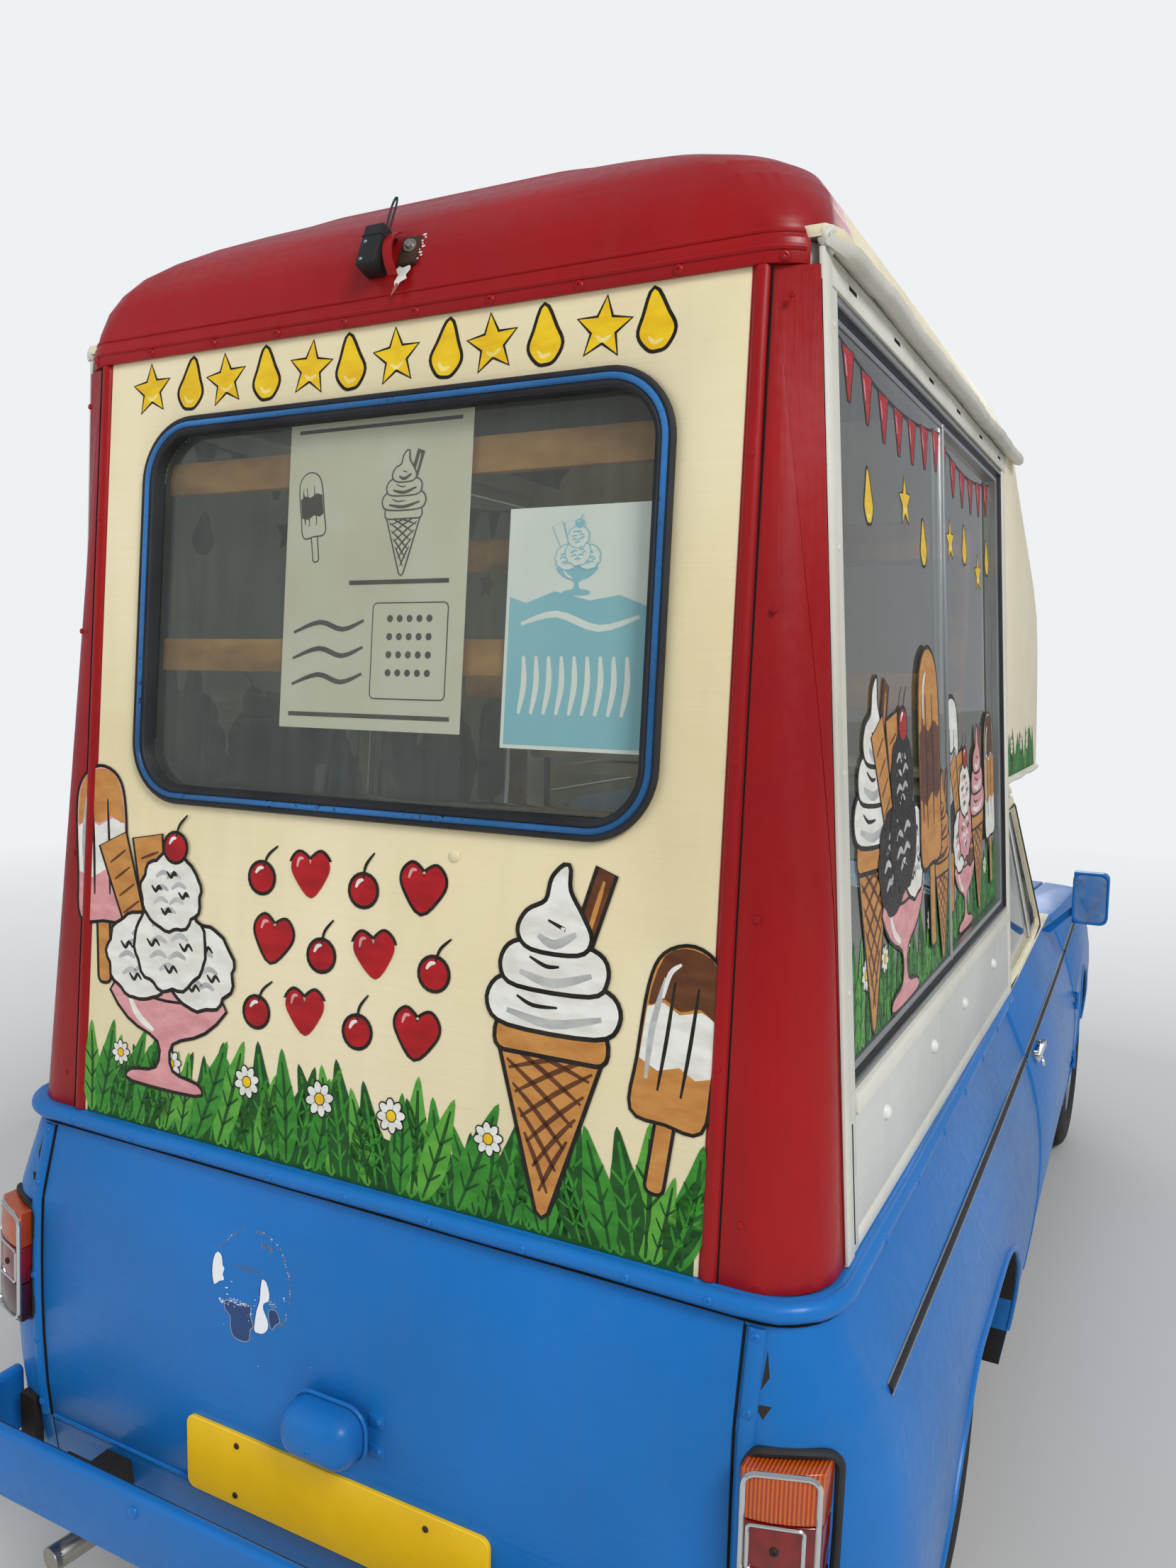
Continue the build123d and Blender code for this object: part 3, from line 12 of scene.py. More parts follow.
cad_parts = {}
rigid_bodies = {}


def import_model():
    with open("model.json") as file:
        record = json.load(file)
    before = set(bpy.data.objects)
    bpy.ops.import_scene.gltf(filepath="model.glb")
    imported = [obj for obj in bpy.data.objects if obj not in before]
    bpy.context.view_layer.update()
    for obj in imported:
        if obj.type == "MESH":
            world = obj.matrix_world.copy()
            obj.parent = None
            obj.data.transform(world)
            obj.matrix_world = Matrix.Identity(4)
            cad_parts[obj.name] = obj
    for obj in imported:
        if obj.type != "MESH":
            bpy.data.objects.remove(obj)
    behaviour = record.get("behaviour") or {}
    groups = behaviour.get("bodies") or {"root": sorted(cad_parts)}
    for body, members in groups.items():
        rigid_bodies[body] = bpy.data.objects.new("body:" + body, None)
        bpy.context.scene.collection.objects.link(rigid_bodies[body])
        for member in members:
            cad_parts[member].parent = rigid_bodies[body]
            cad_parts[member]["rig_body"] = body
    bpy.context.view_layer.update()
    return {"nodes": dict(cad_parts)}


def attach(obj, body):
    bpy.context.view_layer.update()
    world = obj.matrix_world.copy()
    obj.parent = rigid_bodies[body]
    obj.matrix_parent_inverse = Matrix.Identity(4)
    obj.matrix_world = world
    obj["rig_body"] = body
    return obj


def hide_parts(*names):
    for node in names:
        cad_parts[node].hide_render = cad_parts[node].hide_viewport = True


bl_info = {
    "name": "Ice cream van",
    "version": (1, 0, 0),
    "blender": (4, 5, 0),
    "location": "View3D > Sidebar > Van",
    "description": "Builds the finish and the close detail of an ice cream van round its frame",
    "category": "Object",
}

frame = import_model()
NODES = frame["nodes"]
MM = 0.001
SIDES = ((1, "right"), (-1, "left"))

# Driving places of the frame, in millimetres
WAIST = 897.0
REAR_FOOT, REAR_LEAN = -1787.0, 90.0 / 1198.0
SIDE_FOOT, SIDE_LEAN = 655.8, 0.061
# Each axle's place along the van and its wheels' distance from the middle
AXLES = {"front": (1284.0, 600.0), "rear": (-1040.0, 612.0)}
HUB_HEIGHT = 290.0
FORE, AFT, UP = Vector((0, 1, 0)), Vector((0, -1, 0)), Vector((0, 0, 1))
# Places outside the van from which rays are cast at it
ASTERN, ABEAM, AHEAD, OVERHEAD = -2300, 900, 2300, 2700


def linear(code):
    """Linear red, green and blue of an sRGB hex code."""
    parts = [int(code[i:i + 2], 16) / 255 for i in (0, 2, 4)]
    return [c / 12.92 if c <= 0.04045 else ((c + 0.055) / 1.055) ** 2.4 for c in parts]


def at(x, y, z):
    """Point in metres, given in millimetres."""
    return Vector((x, y, z)) * MM


# Places on the frame

TREES = {}


def tree_of(node):
    """Search tree over a node's faces, made once."""
    if node not in TREES:
        mesh = NODES[node].data
        TREES[node] = BVHTree.FromPolygons([v.co for v in mesh.vertices], [p.vertices for p in mesh.polygons])
    return TREES[node]


def land(nodes, start, towards):
    """Point and outward normal where a ray first meets any of the nodes."""
    best = None
    for node in [nodes] if isinstance(nodes, str) else nodes:
        point, normal, _, distance = tree_of(node).ray_cast(start, towards)
        if point is not None and (best is None or distance < best[2]):
            best = (point, normal if normal.dot(towards) < 0 else -normal, distance)
    if best is None:
        raise RuntimeError(f"nothing of {nodes} lies that way from {tuple(start)}")
    return best[0], best[1]


# Modelling by hand, in short words

def added(name, data):
    """New object of that name and data in the scene."""
    made = bpy.data.objects.new(name, data)
    bpy.context.collection.objects.link(made)
    return made


def facing(*parts):
    """Direction of unit length."""
    return Vector(parts).normalized()


def pick(*objs):
    """Select only these objects, the last one active."""
    bpy.ops.object.select_all(action="DESELECT")
    for obj in objs:
        obj.select_set(True)
    bpy.context.view_layer.objects.active = objs[-1]


def fixed(obj):
    """Apply the place, turn and scale of a piece to its mesh."""
    pick(obj)
    bpy.ops.object.transform_apply(location=True, rotation=True, scale=True)
    return obj


def shaped(obj, kind, **settings):
    """Add a modifier, set it and apply it."""
    pick(obj)
    made = obj.modifiers.new(kind.title(), kind)
    for name, value in settings.items():
        setattr(made, name, value)
    bpy.ops.object.modifier_apply(modifier=made.name)
    return obj


def softened(obj, width, segments=2, angle=30.0):
    """Bevel every edge sharper than angle by width, in millimetres."""
    return shaped(obj, "BEVEL", width=width * MM, segments=segments, limit_method="ANGLE",
                  angle_limit=math.radians(angle), harden_normals=False)


def joined(pieces):
    """One object from several."""
    pick(*pieces)
    if len(pieces) > 1:
        bpy.ops.object.join()
    return bpy.context.view_layer.objects.active


def edit(obj, *steps):
    """Run edit-mode steps on the whole of obj."""
    pick(obj)
    bpy.ops.object.mode_set(mode="EDIT")
    bpy.ops.mesh.select_all(action="SELECT")
    for step, settings in steps:
        getattr(bpy.ops.mesh, step)(**settings)
    bpy.ops.object.mode_set(mode="OBJECT")
    return obj


def outward(obj):
    """Merge doubles and face everything outwards."""
    return edit(obj, ("remove_doubles", {"threshold": 1e-6}), ("normals_make_consistent", {"inside": False}))


def cuboid(x, y, z, soft=0.0, segments=2):
    """Block between pairs of limits in millimetres, with softened edges."""
    low, high = at(x[0], y[0], z[0]), at(x[1], y[1], z[1])
    bpy.ops.mesh.primitive_cube_add(size=1, location=(low + high) / 2)
    made = bpy.context.object
    made.scale = high - low
    fixed(made)
    return softened(made, soft, segments) if soft else made


def turned(axis):
    """The turn that takes +Z to that direction."""
    return axis.to_track_quat("Z", "Y")


def rod(start, end, radius, sides=20, soft=0.0):
    """Round bar between two points in metres; the radius is in millimetres."""
    axis = end - start
    bpy.ops.mesh.primitive_cylinder_add(vertices=sides, radius=radius * MM, depth=axis.length,
                                        location=(start + end) / 2, rotation=turned(axis).to_euler())
    made = fixed(bpy.context.object)
    return softened(made, soft, 2, 50) if soft else made


def lathe(profile, centre, axis, steps=32):
    """Turned shape from (radius, height) pairs in millimetres, about an axis through centre."""
    mesh = bpy.data.meshes.new("profile")
    mesh.from_pydata([(r * MM, 0, h * MM) for r, h in profile], [(i, i + 1) for i in range(len(profile) - 1)], [])
    made = added("profile", mesh)
    edit(made, ("spin", {"steps": steps, "angle": math.tau, "center": (0, 0, 0), "axis": (0, 0, 1)}),
         ("remove_doubles", {"threshold": 1e-6}), ("normals_make_consistent", {"inside": False}))
    made.matrix_world = stood(centre, axis)
    return fixed(made)


def line_curve(points, closed=False, smooth=False):
    """Curve object through points in metres."""
    data = bpy.data.curves.new("line", "CURVE")
    data.dimensions = "3D"
    spline = data.splines.new("NURBS" if smooth else "POLY")
    spline.points.add(len(points) - 1)
    for spot, point in zip(spline.points, points):
        spot.co = (*point, 1.0)
    spline.use_cyclic_u = closed
    if smooth:
        spline.order_u = 3
        spline.use_endpoint_u = not closed
        data.resolution_u = 6
    made = added("line", data)
    return made


def tube(points, radius, closed=False, smooth=False, sides=2):
    """Round cord along points in metres; the radius is in millimetres."""
    made = line_curve(points, closed, smooth)
    made.data.bevel_depth = radius * MM
    made.data.bevel_resolution = sides
    made.data.use_fill_caps = not closed
    pick(made)
    bpy.ops.object.convert(target="MESH")
    return bpy.context.object


def hoop(points, radius, sides=3):
    """Round cord that closes on itself."""
    return tube(points, radius, True, sides=sides)


def settled(piece, name, key, body="body", angle=35.0, stands_for=()):
    """Finish a piece, or several as one: name, place in its mesh, smooth shading, finish and the body it rides on."""
    obj = fixed(joined(piece) if isinstance(piece, list) else piece)
    obj.name = obj.data.name = name
    if angle:
        bpy.ops.object.shade_smooth_by_angle(angle=math.radians(angle))
    obj.data.materials.clear()
    obj.data.materials.append(finish_of(key))
    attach(obj, body)
    if stands_for:
        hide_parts(*stands_for)
    return obj


def dressed(node, name, key, soft, cuts=()):
    """Finished copy that stands for a frame node, whole or behind cuts: each a point and the normal looking off."""
    source = NODES[node]
    made = added(name, source.data.copy())
    merge = ("remove_doubles", {"threshold": 2e-6})
    flatten = ("dissolve_limited", {"angle_limit": math.radians(0.4), "delimit": {"NORMAL"}})
    planes = [{"plane_co": at(*point), "plane_no": normal, "use_fill": True, "clear_outer": True}
              for point, normal in cuts]
    for steps in [[merge], *([("bisect", plane)] for plane in planes), [flatten]] if cuts else [[merge, flatten]]:
        edit(made, *steps)
    if soft:
        softened(made, soft, 2, 40)
    return settled(made, name, key, source["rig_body"], 32.0, [node])


# Walls of the upper body are planes, and other panels are reached by casting a ray onto them

def rear_wall(x, z, out=0.0):
    """Point on the upper rear wall, out millimetres proud of it."""
    return at(x, REAR_FOOT + REAR_LEAN * (z - WAIST) - out, z)


def side_wall(side):
    """Place maker for an upper side wall: y, z and the distance out from it."""
    return lambda y, z, out=0.0: at(side * (SIDE_FOOT - SIDE_LEAN * (z - WAIST) + out), y, z)


LOOKS = {
    "rear": (lambda u, v: at(u, ASTERN, v), FORE),
    "front": (lambda u, v: at(-u, AHEAD, v), AFT),
    "right": (lambda u, v: at(1200, u, v), Vector((-1, 0, 0))),
    "left": (lambda u, v: at(-1200, -u, v), Vector((1, 0, 0))),
    "top": (lambda u, v: at(u, v, OVERHEAD), -UP),
}


def onto(nodes, look):
    """Place maker for a curved panel: u and v as seen from that side, and the distance out along the normal."""
    start, towards = LOOKS[look]

    def place(u, v, out=0.0):
        point, normal = land(nodes, start(u, v), towards)
        return point + normal * out * MM

    return place


def spaced(first, last, steps):
    """Even numbers from first to last, both included."""
    return [first + (last - first) * i / steps for i in range(steps + 1)]


def mirrored(points):
    """The same points on the other side of the van."""
    return [Vector((-p.x, p.y, p.z)) for p in points]


def girdle(nodes, height, rays, out=0.0):
    """Points round the body at one height, where rays given by start and direction in plan meet it."""
    found = []
    for (x, y), (dx, dy) in rays:
        point, normal = land(nodes, at(x, y, height), facing(dx, dy, 0))
        found.append(point + normal * out * MM)
    return found


def rear_rays(side_end, corner=(579.0, -1700.0), steps=12, first=0):
    """Rays onto the right half of the tail: along the side, round the corner from a first angle, then the back."""
    rays = [((ABEAM, y), (-1, 0)) for y in spaced(side_end, corner[1], steps)] if first == 0 else []
    for angle in spaced(first, 90, 9)[1 if first == 0 else 0:]:
        c, s = math.cos(math.radians(angle)), math.sin(math.radians(angle))
        rays.append(((corner[0] + 400 * c, corner[1] - 400 * s), (-c, s)))
    return rays + [((x, ASTERN), (0, 1)) for x in spaced(corner[0] - 20, 0, 6)]


def front_rays(side_start, corner, steps=8):
    """Rays onto the right half of the nose: along the side, round the corner and along the front."""
    rays = [((ABEAM, y), (-1, 0)) for y in spaced(side_start, corner[1], steps)]
    for angle in spaced(0, 90, 10)[1:]:
        c, s = math.cos(math.radians(angle)), math.sin(math.radians(angle))
        rays.append(((corner[0] + 500 * c, corner[1] + 500 * s), (-c, -s)))
    return rays + [((x, 2400), (0, -1)) for x in spaced(corner[0] - 20, 0, 6)]


def whole(half):
    """A line that starts on the right and ends on the middle, carried on to the left."""
    return half + mirrored(half[:-1])[::-1]


def rounded(corners, radius, steps=6):
    """Outline through corners in millimetres, each one rounded by radius."""
    outline = []
    for i, corner in enumerate(corners):
        here = Vector(corner)
        before, after = (Vector(corners[i - 1]) - here), (Vector(corners[(i + 1) % len(corners)]) - here)
        half_angle = before.angle(after) / 2
        reach = radius / math.tan(half_angle)
        centre = here + (before.normalized() + after.normalized()).normalized() * radius / math.sin(half_angle)
        first, last = here + before.normalized() * reach - centre, here + after.normalized() * reach - centre
        turn = first.angle_signed(last)
        for step in range(steps + 1):
            outline.append(centre + Matrix.Rotation(-turn * step / steps, 2) @ first)
    return outline


def oblong(u, v, radius, steps=6):
    """Rounded rectangle between limits in millimetres."""
    return rounded([(u[0], v[0]), (u[1], v[0]), (u[1], v[1]), (u[0], v[1])], radius, steps)


def slab(place, u, v, out, soft=0.0):
    """Bar on a wall between limits along it, up it and out from it, with rounded edges."""
    bpy.ops.mesh.primitive_cube_add(size=2)
    made = bpy.context.object
    for vertex in made.data.vertices:
        vertex.co = place(*(pair[1] if c > 0 else pair[0] for c, pair in zip(vertex.co, (u, v, out))))
    outward(made)
    return softened(made, soft) if soft else made


def lofted(rings, looped=False):
    """Closed skin through rings of points in metres, capped at both ends unless it runs round."""
    count = len(rings[0])
    faces = []
    for i in range(len(rings) if looped else len(rings) - 1):
        a, b = i * count, (i + 1) % len(rings) * count
        faces += [(a + j, a + (j + 1) % count, b + (j + 1) % count, b + j) for j in range(count)]
    if not looped:
        faces += [tuple(range(count)), tuple(range(len(rings) * count - count, len(rings) * count))]
    mesh = bpy.data.meshes.new("skin")
    mesh.from_pydata([tuple(point) for ring in rings for point in ring], [], faces)
    made = added("skin", mesh)
    return edit(made, ("normals_make_consistent", {"inside": False}))


def copied(obj, matrix):
    """A copy of a piece with its own mesh, moved."""
    twin = added(obj.name, obj.data.copy())
    twin.data.transform(matrix)
    if matrix.determinant() < 0:
        outward(twin)
    return twin


def stood(point, normal):
    """Matrix that stands +Z on a surface at point, along its normal."""
    return Matrix.Translation(point) @ turned(normal).to_matrix().to_4x4()


SCREW_HEAD = [(0, 0.5), (0.26, 0.55), (0.34, 1.0), (0.62, 0.86), (0.9, 0.45), (1.0, -0.6)]
DOME_HEAD = [(0, 1.0), (0.35, 0.93), (0.7, 0.7), (0.93, 0.35), (1.0, -0.6)]


def studs(name, spots, radius, height, key, head=SCREW_HEAD, steps=14):
    """Heads of screws, rivets or plugs at points with their normals, as one piece."""
    first = lathe([(r * radius, h * height) for r, h in head], Vector(), UP, steps)
    heads = [copied(first, stood(point, normal)) for point, normal in spots]
    bpy.data.objects.remove(first)
    settled(heads, name, key, angle=50)


def lined(piece, node, look, finish, depth, inward):
    """Give the faces behind a panel's skin, seen from that side, another finish, but not door edges and wing tops."""
    # Metres outside the van from which each face is looked at
    away = 3.0
    towards = LOOKS[look][1]
    piece.data.materials.append(finish_of(finish))
    for face in piece.data.polygons:
        jamb = abs(face.normal.y) > 0.95 and face.center.z > 0.31
        shelf = face.normal.z > 0.5 and face.center.y > 0.85
        if face.normal.dot(towards) < inward or ((jamb or shelf) and abs(towards.x) > 0.5):
            continue
        start = face.center - face.normal * 4 * MM - towards * away
        point, _, _, distance = tree_of(node).ray_cast(start, towards)
        if point is not None and away - distance > depth * MM:
            face.material_index = 1


# Sign painting: flat shapes with an inked outline, laid on a wall in thin layers

# In millimetres: from one layer to the next, from the wall to the lowest, and how thick each is
LAYER, LIFT, THICK = 0.05, 0.25, 0.1


def curved(points, steps=5, closed=True):
    """Points of a smooth line drawn through the given ones."""
    count = len(points)
    line = []
    for i in range(count if closed else count - 1):
        a, b, c, d = (Vector(points[(i + k - 1) % count] if closed else points[min(max(i + k - 1, 0), count - 1)])
                      for k in range(4))
        for step in range(steps):
            t = step / steps
            line.append(0.5 * (2 * b + (c - a) * t + (2 * a - 5 * b + 4 * c - d) * t * t
                               + (3 * b - a - 3 * c + d) * t ** 3))
    return line if closed else line + [Vector(points[-1])]


def stroke(points, width, steps=4):
    """Outline of one pull of the brush: thin where it lands and where it lifts off."""
    line = curved(points, steps, False)
    left, right = [], []
    for i, spot in enumerate(line):
        ahead = line[min(i + 1, len(line) - 1)] - line[max(i - 1, 0)]
        share = min(max(i / (len(line) - 1), 0.06), 0.95)
        aside = facing(-ahead.y, ahead.x) * width * (0.16 + 0.34 * math.sin(math.pi * share) ** 0.7)
        left.append(spot + aside)
        right.append(spot - aside)
    return left + right[::-1]


def grown(outline, by):
    """The outline moved outwards by that distance."""
    points = [Vector(p) for p in outline]
    area = sum(a.x * b.y - b.x * a.y for a, b in zip(points, points[1:] + points[:1]))
    side = 1 if area > 0 else -1
    moved = []
    for i, here in enumerate(points):
        along = points[(i + 1) % len(points)] - points[i - 1]
        moved.append(here + facing(along.y, -along.x) * by * side)
    return moved


def oval(x, z, rx, rz=None, count=20):
    """Ellipse of points."""
    return [Vector((x + rx * math.cos(math.tau * i / count), z + (rz or rx) * math.sin(math.tau * i / count)))
            for i in range(count)]


def inked(colour, layer, outline, line=None):
    """A filled shape over its black outline."""
    return [("ink", layer, grown(outline, line or van().picture_line)), (colour, layer + 1, outline)]


def shifted(shapes, x, z, size=1.0, turn=0.0, layer=0):
    """The same shapes moved, scaled and turned, and raised by layers."""
    c, s = math.cos(math.radians(turn)) * size, math.sin(math.radians(turn)) * size
    return [(colour, level + layer, [Vector((x + c * p[0] - s * p[1], z + s * p[0] + c * p[1])) for p in outline])
            for colour, level, outline in shapes]


def painted(name, shapes, place):
    """Lay painted shapes on a surface, one piece for each colour."""
    for colour in dict.fromkeys(shape[0] for shape in shapes):
        pieces = []
        for _, level, outline in (shape for shape in shapes if shape[0] == colour):
            data = bpy.data.curves.new("shape", "CURVE")
            data.dimensions = "2D"
            data.fill_mode = "BOTH"
            data.extrude = 1.0
            spline = data.splines.new("POLY")
            spline.points.add(len(outline) - 1)
            for spot, point in zip(spline.points, outline):
                spot.co = (point[0], point[1], 0, 1)
            spline.use_cyclic_u = True
            made = added(f"shape_{level}", data)
            made["level"] = level
            pieces.append(made)
        pick(*pieces)
        bpy.ops.object.convert(target="MESH")
        for piece in pieces:
            for vertex in piece.data.vertices:
                lift = LIFT + LAYER * piece["level"] + (THICK if vertex.co.z > 0 else 0.0)
                vertex.co = place(vertex.co.x, vertex.co.y, lift)
        settled(outward(joined(pieces)), f"{name}_{colour}", colour, angle=0)


def recoloured(shapes, found, mark, paper):
    """The same shapes in two colours: mark for those whose colour is found among the given, paper for the rest."""
    return [(mark if colour in found else paper, level, outline) for colour, level, outline in shapes]


# Motifs of the painting, drawn in millimetres with their foot at the origin

def wafer_cone(cream="cloud", shade="dove", biscuit="tan", stick="brown"):
    """Wafer cone with three turns of soft ice and a flake."""
    shapes = inked(biscuit, 0, [(-5, 4), (0, 0), (5, 4), (52, 150), (50, 162), (-50, 162), (-52, 150)])
    for h in range(22, 150, 22):
        top = min(h + 52, 158)
        left, right = -(h * 52 / 150 - 3), top * 52 / 150 - 3
        for side in (1, -1):
            score = [(left, h), ((left + right) / 2, (h + top) / 2 + 2), (right, top)]
            shapes.append((stick, 2, stroke([(side * x, z) for x, z in score], 5)))
    shapes += inked(biscuit, 3, oblong((-58, 58), (150, 176), 9, 3))
    shapes += inked(stick, 5, [(18, 250), (34, 246), (58, 322), (42, 328)], 4)
    shapes.append(("tan", 7, stroke([(32, 258), (48, 316)], 5)))
    turns = (
        [(-46, 174), (-68, 190), (-60, 212), (-30, 220), (30, 220), (62, 211), (68, 190), (46, 174)],
        [(-38, 212), (-55, 226), (-48, 246), (-22, 254), (24, 254), (50, 245), (54, 226), (38, 212)],
        [(-24, 248), (-38, 262), (-30, 280), (-10, 292), (-4, 314), (10, 326), (12, 304), (26, 282), (36, 262),
         (24, 248)],
    )
    for i, turn in enumerate(turns):
        outline = curved(turn, 4)
        shapes += inked(cream, 8 + 3 * i, outline)
        low = turn[0][1]
        wide = turn[2][0]
        for colour, line, width in (
            (shade, [(wide + 12, low + 12), (0, low + 5), (-wide - 8, low + 17)], 9),
            ("ink", [(wide + 22, low + 27), (wide + 40, low + 20), (6, low + 21)], 4),
        ):
            shapes.append((colour, 10 + 3 * i, stroke(line, width)))
    return shapes


def scoop(x, z, r, colour, shade, layer):
    """One ball of ice with a ragged edge and the pull of the spoon over it."""
    edge = []
    for i in range(44):
        a = math.tau * i / 44
        wave = 1.0 + 0.07 * abs(math.sin(4.5 * a)) + 0.03 * math.sin(11 * a + x)
        edge.append((x + r * wave * math.cos(a), z + 0.92 * r * wave * math.sin(a)))
    shapes = inked(colour, layer, edge, 5)
    for k in range(7):
        a = 0.5 + k * 0.83 + 0.01 * x
        reach = r * (0.34 + 0.09 * (k % 3))
        cx, cz = x + reach * math.cos(a), z + reach * math.sin(a)
        pull = [(cx - 0.26 * r, cz - 3), (cx, cz + 0.09 * r), (cx + 0.26 * r, cz)]
        shapes.append((shade, layer + 2, stroke(pull, r * 0.13)))
    for k in range(4):
        a = 1.1 + k * 1.5 + 0.02 * z
        cx, cz = x + 0.5 * r * math.cos(a), z + 0.5 * r * math.sin(a)
        ripple = [(cx + u * r, cz + v * r) for u, v in ((-0.2, 0.05), (-0.04, -0.09), (0.06, 0.05), (0.2, -0.07))]
        shapes.append(("ink", layer + 3, stroke(ripple, 5)))
    return shapes


def sundae(colours=(("cloud", "dove"), ("cloud", "dove"), ("cloud", "dove"))):
    """Footed glass dish piled with five balls of ice, a cherry and two wafers."""
    shapes = inked("rose", 0, curved([(-58, 0), (-60, 12), (-14, 22), (-12, 60), (-70, 84), (-96, 128), (96, 128),
                                      (70, 84), (12, 60), (14, 22), (60, 12), (58, 0)], 3))
    shapes.append(("cloud", 2, stroke([(-70, 112), (-52, 88), (-22, 72)], 10)))
    shapes.append(("ink", 2, stroke([(-84, 122), (0, 114), (84, 122)], 4)))
    for x, turn in ((-64, 24), (-26, 10)):
        shapes += shifted(inked("tan", 0, [(-18, 0), (18, 0), (26, 120), (-26, 120)], 4)
                          + [("brown", 2, stroke([(-16, h), (18, h + 6)], 4)) for h in (20, 44, 68, 92)],
                          x, 210, 1.0, turn, 3)
    (a, a2), (b, b2), (c, c2) = colours
    shapes += scoop(-52, 168, 58, a, a2, 6)
    shapes += scoop(56, 166, 56, b, b2, 10)
    shapes += scoop(2, 188, 60, c, c2, 14)
    shapes += scoop(0, 258, 50, a, a2, 18)
    shapes += shifted(cherry(), 6, 300, 1.0, 0, 22)
    return shapes


def cherry(colour="scarlet"):
    """Cherry on its stalk."""
    return (inked(colour, 0, oval(0, 18, 19, 18))
            + [("cloud", 2, stroke([(-11, 22), (-6, 29), (1, 31)], 5)),
               ("ink", 2, stroke([(1, 32), (6, 48), (20, 62)], 4))])


def heart(colour="scarlet"):
    """Rounded heart."""
    outline = curved([(0, 0), (-30, 30), (-34, 50), (-20, 64), (-4, 56), (0, 48), (4, 56), (20, 64), (34, 50),
                      (30, 30)], 4)
    return inked(colour, 0, outline) + [("rose", 2, stroke([(-24, 44), (-20, 55), (-12, 56)], 5))]


def star(colour="lemon", points=5, outer=40.0, inner=17.0):
    """Star with blunt points."""
    centre, corners = 37, []
    for i in range(2 * points):
        reach, turn = inner if i % 2 else outer, math.pi * i / points
        corners.append((reach * math.sin(turn), centre + reach * math.cos(turn)))
    return inked(colour, 0, corners, 4) + [("custard", 2, stroke([(-10, 28), (0, 22), (12, 28)], 6))]


def drop(colour="lemon"):
    """Round drop of sauce."""
    outline = curved([(0, 76), (-16, 44), (-24, 22), (-12, 3), (0, 0), (12, 3), (24, 22), (16, 44)], 4)
    return inked(colour, 0, outline, 5) + [("custard", 2, stroke([(-12, 18), (-4, 9), (8, 11)], 6))]


def lolly(first, second, third, shade="dove"):
    """Ice on a stick in three bands."""
    shapes = inked("tan", 0, oblong((-10, 10), (0, 96), 7, 3))
    body = [(-44, 88), (-46, 150), (-46, 236), (-34, 276), (0, 292), (34, 276), (46, 236), (46, 150), (44, 88),
            (0, 84)]
    shapes += inked(first, 2, curved(body, 4))
    shapes.append((second, 4, [(-45.5, 150), (-20, 141), (6, 152), (28, 143), (45.5, 150), (45.5, 214), (22, 222),
                               (-4, 212), (-26, 221), (-45.5, 212)]))
    shapes.append((third, 4, curved([(-45, 216), (-34, 275), (0, 290), (34, 275), (45, 216), (20, 225), (-4, 216),
                                     (-26, 225)], 3)))
    for x in (-16, 14):
        shapes.append(("ink", 5, stroke([(x, 118), (x + 1, 180), (x, 248)], 5)))
    shapes.append((shade, 5, stroke([(-33, 128), (-35, 190), (-28, 250)], 8)))
    shapes.append(("cloud", 6, stroke([(-28, 226), (-24, 256), (-12, 270)], 6)))
    return shapes


def leaf(colour="leaf", vein="moss"):
    """Pointed leaf with its vein."""
    outline = [(0, 0), (-15, 26), (-17, 58), (-9, 92), (0, 122), (9, 92), (17, 58), (15, 26)]
    branches = [[(0, h), (side * 12, h + 15)] for h in (24, 46, 68) for side in (-1, 1)]
    return ([(colour, 0, curved(outline, 3)), (vein, 1, stroke([(0, 4), (2, 60), (0, 108)], 5))]
            + [(vein, 1, stroke(branch, 3)) for branch in branches])


def daisy():
    """Small flower seen square on."""
    shapes = [("moss", 0, stroke([(0, -46), (3, -20), (0, 0)], 5))]
    for k in range(8):
        shapes += shifted(inked("cloud", 1, oval(0, 13, 5.5, 9, 10), 2), 0, 0, 1.0, 45 * k)
    return shapes + inked("lemon", 3, oval(0, 0, 7, 7, 12), 1.5)


def hedge(start, end, foot, height, seed, gap=15.0):
    """Bank of leaves and a few flowers along the foot of a picture."""
    chance = random.Random(seed)
    crest = [(x, foot + height * (0.36 + 0.1 * math.sin(x * 0.021) + 0.05 * math.sin(x * 0.067)))
             for x in spaced(start, end, 40)]
    shapes = [("moss", 0, [(start, foot)] + [(end, foot)] + crest[::-1])]
    x = start + 10
    while x < end - 8:
        near = min((x - start) / 40, (end - x) / 40, 1.0)
        size = height / 122 * chance.uniform(0.62, 1.0)
        tilt = chance.uniform(-26, 26) * near
        shapes += shifted(leaf(*chance.choice((("leaf", "moss"), ("moss", "leaf"), ("sprout", "moss")))),
                          x, foot + 1, size, tilt, 2 + 2 * chance.randint(0, 3))
        x += gap * chance.uniform(0.7, 1.3)
    for k in range(int((end - start) / 130)):
        shapes += shifted(daisy(), start + 60 + k * 130 + chance.uniform(-25, 25), foot + height * 0.62,
                          chance.uniform(0.8, 1.15), chance.uniform(-20, 20), 11)
    return shapes


def bunting(start, end, height, drop_by, count, colour="scarlet"):
    """Line of flags on a slack cord."""
    def hung(share):
        return start + (end - start) * share, height - drop_by * math.sin(math.pi * share)

    shapes = [("ink", 0, stroke([hung(share) for share in spaced(0, 1, 14)], 6, 2))]
    for k in range(count):
        x, z = hung((k + 0.5) / count)
        shapes += shifted(inked(colour, 0, [(-26, 0), (26, 0), (3, -62), (-3, -62)], 4.5)
                          + [("rose", 2, stroke([(-16, -9), (-8, -34)], 5))], x, z, 1.0, 0, 1)
    return shapes


# Materials

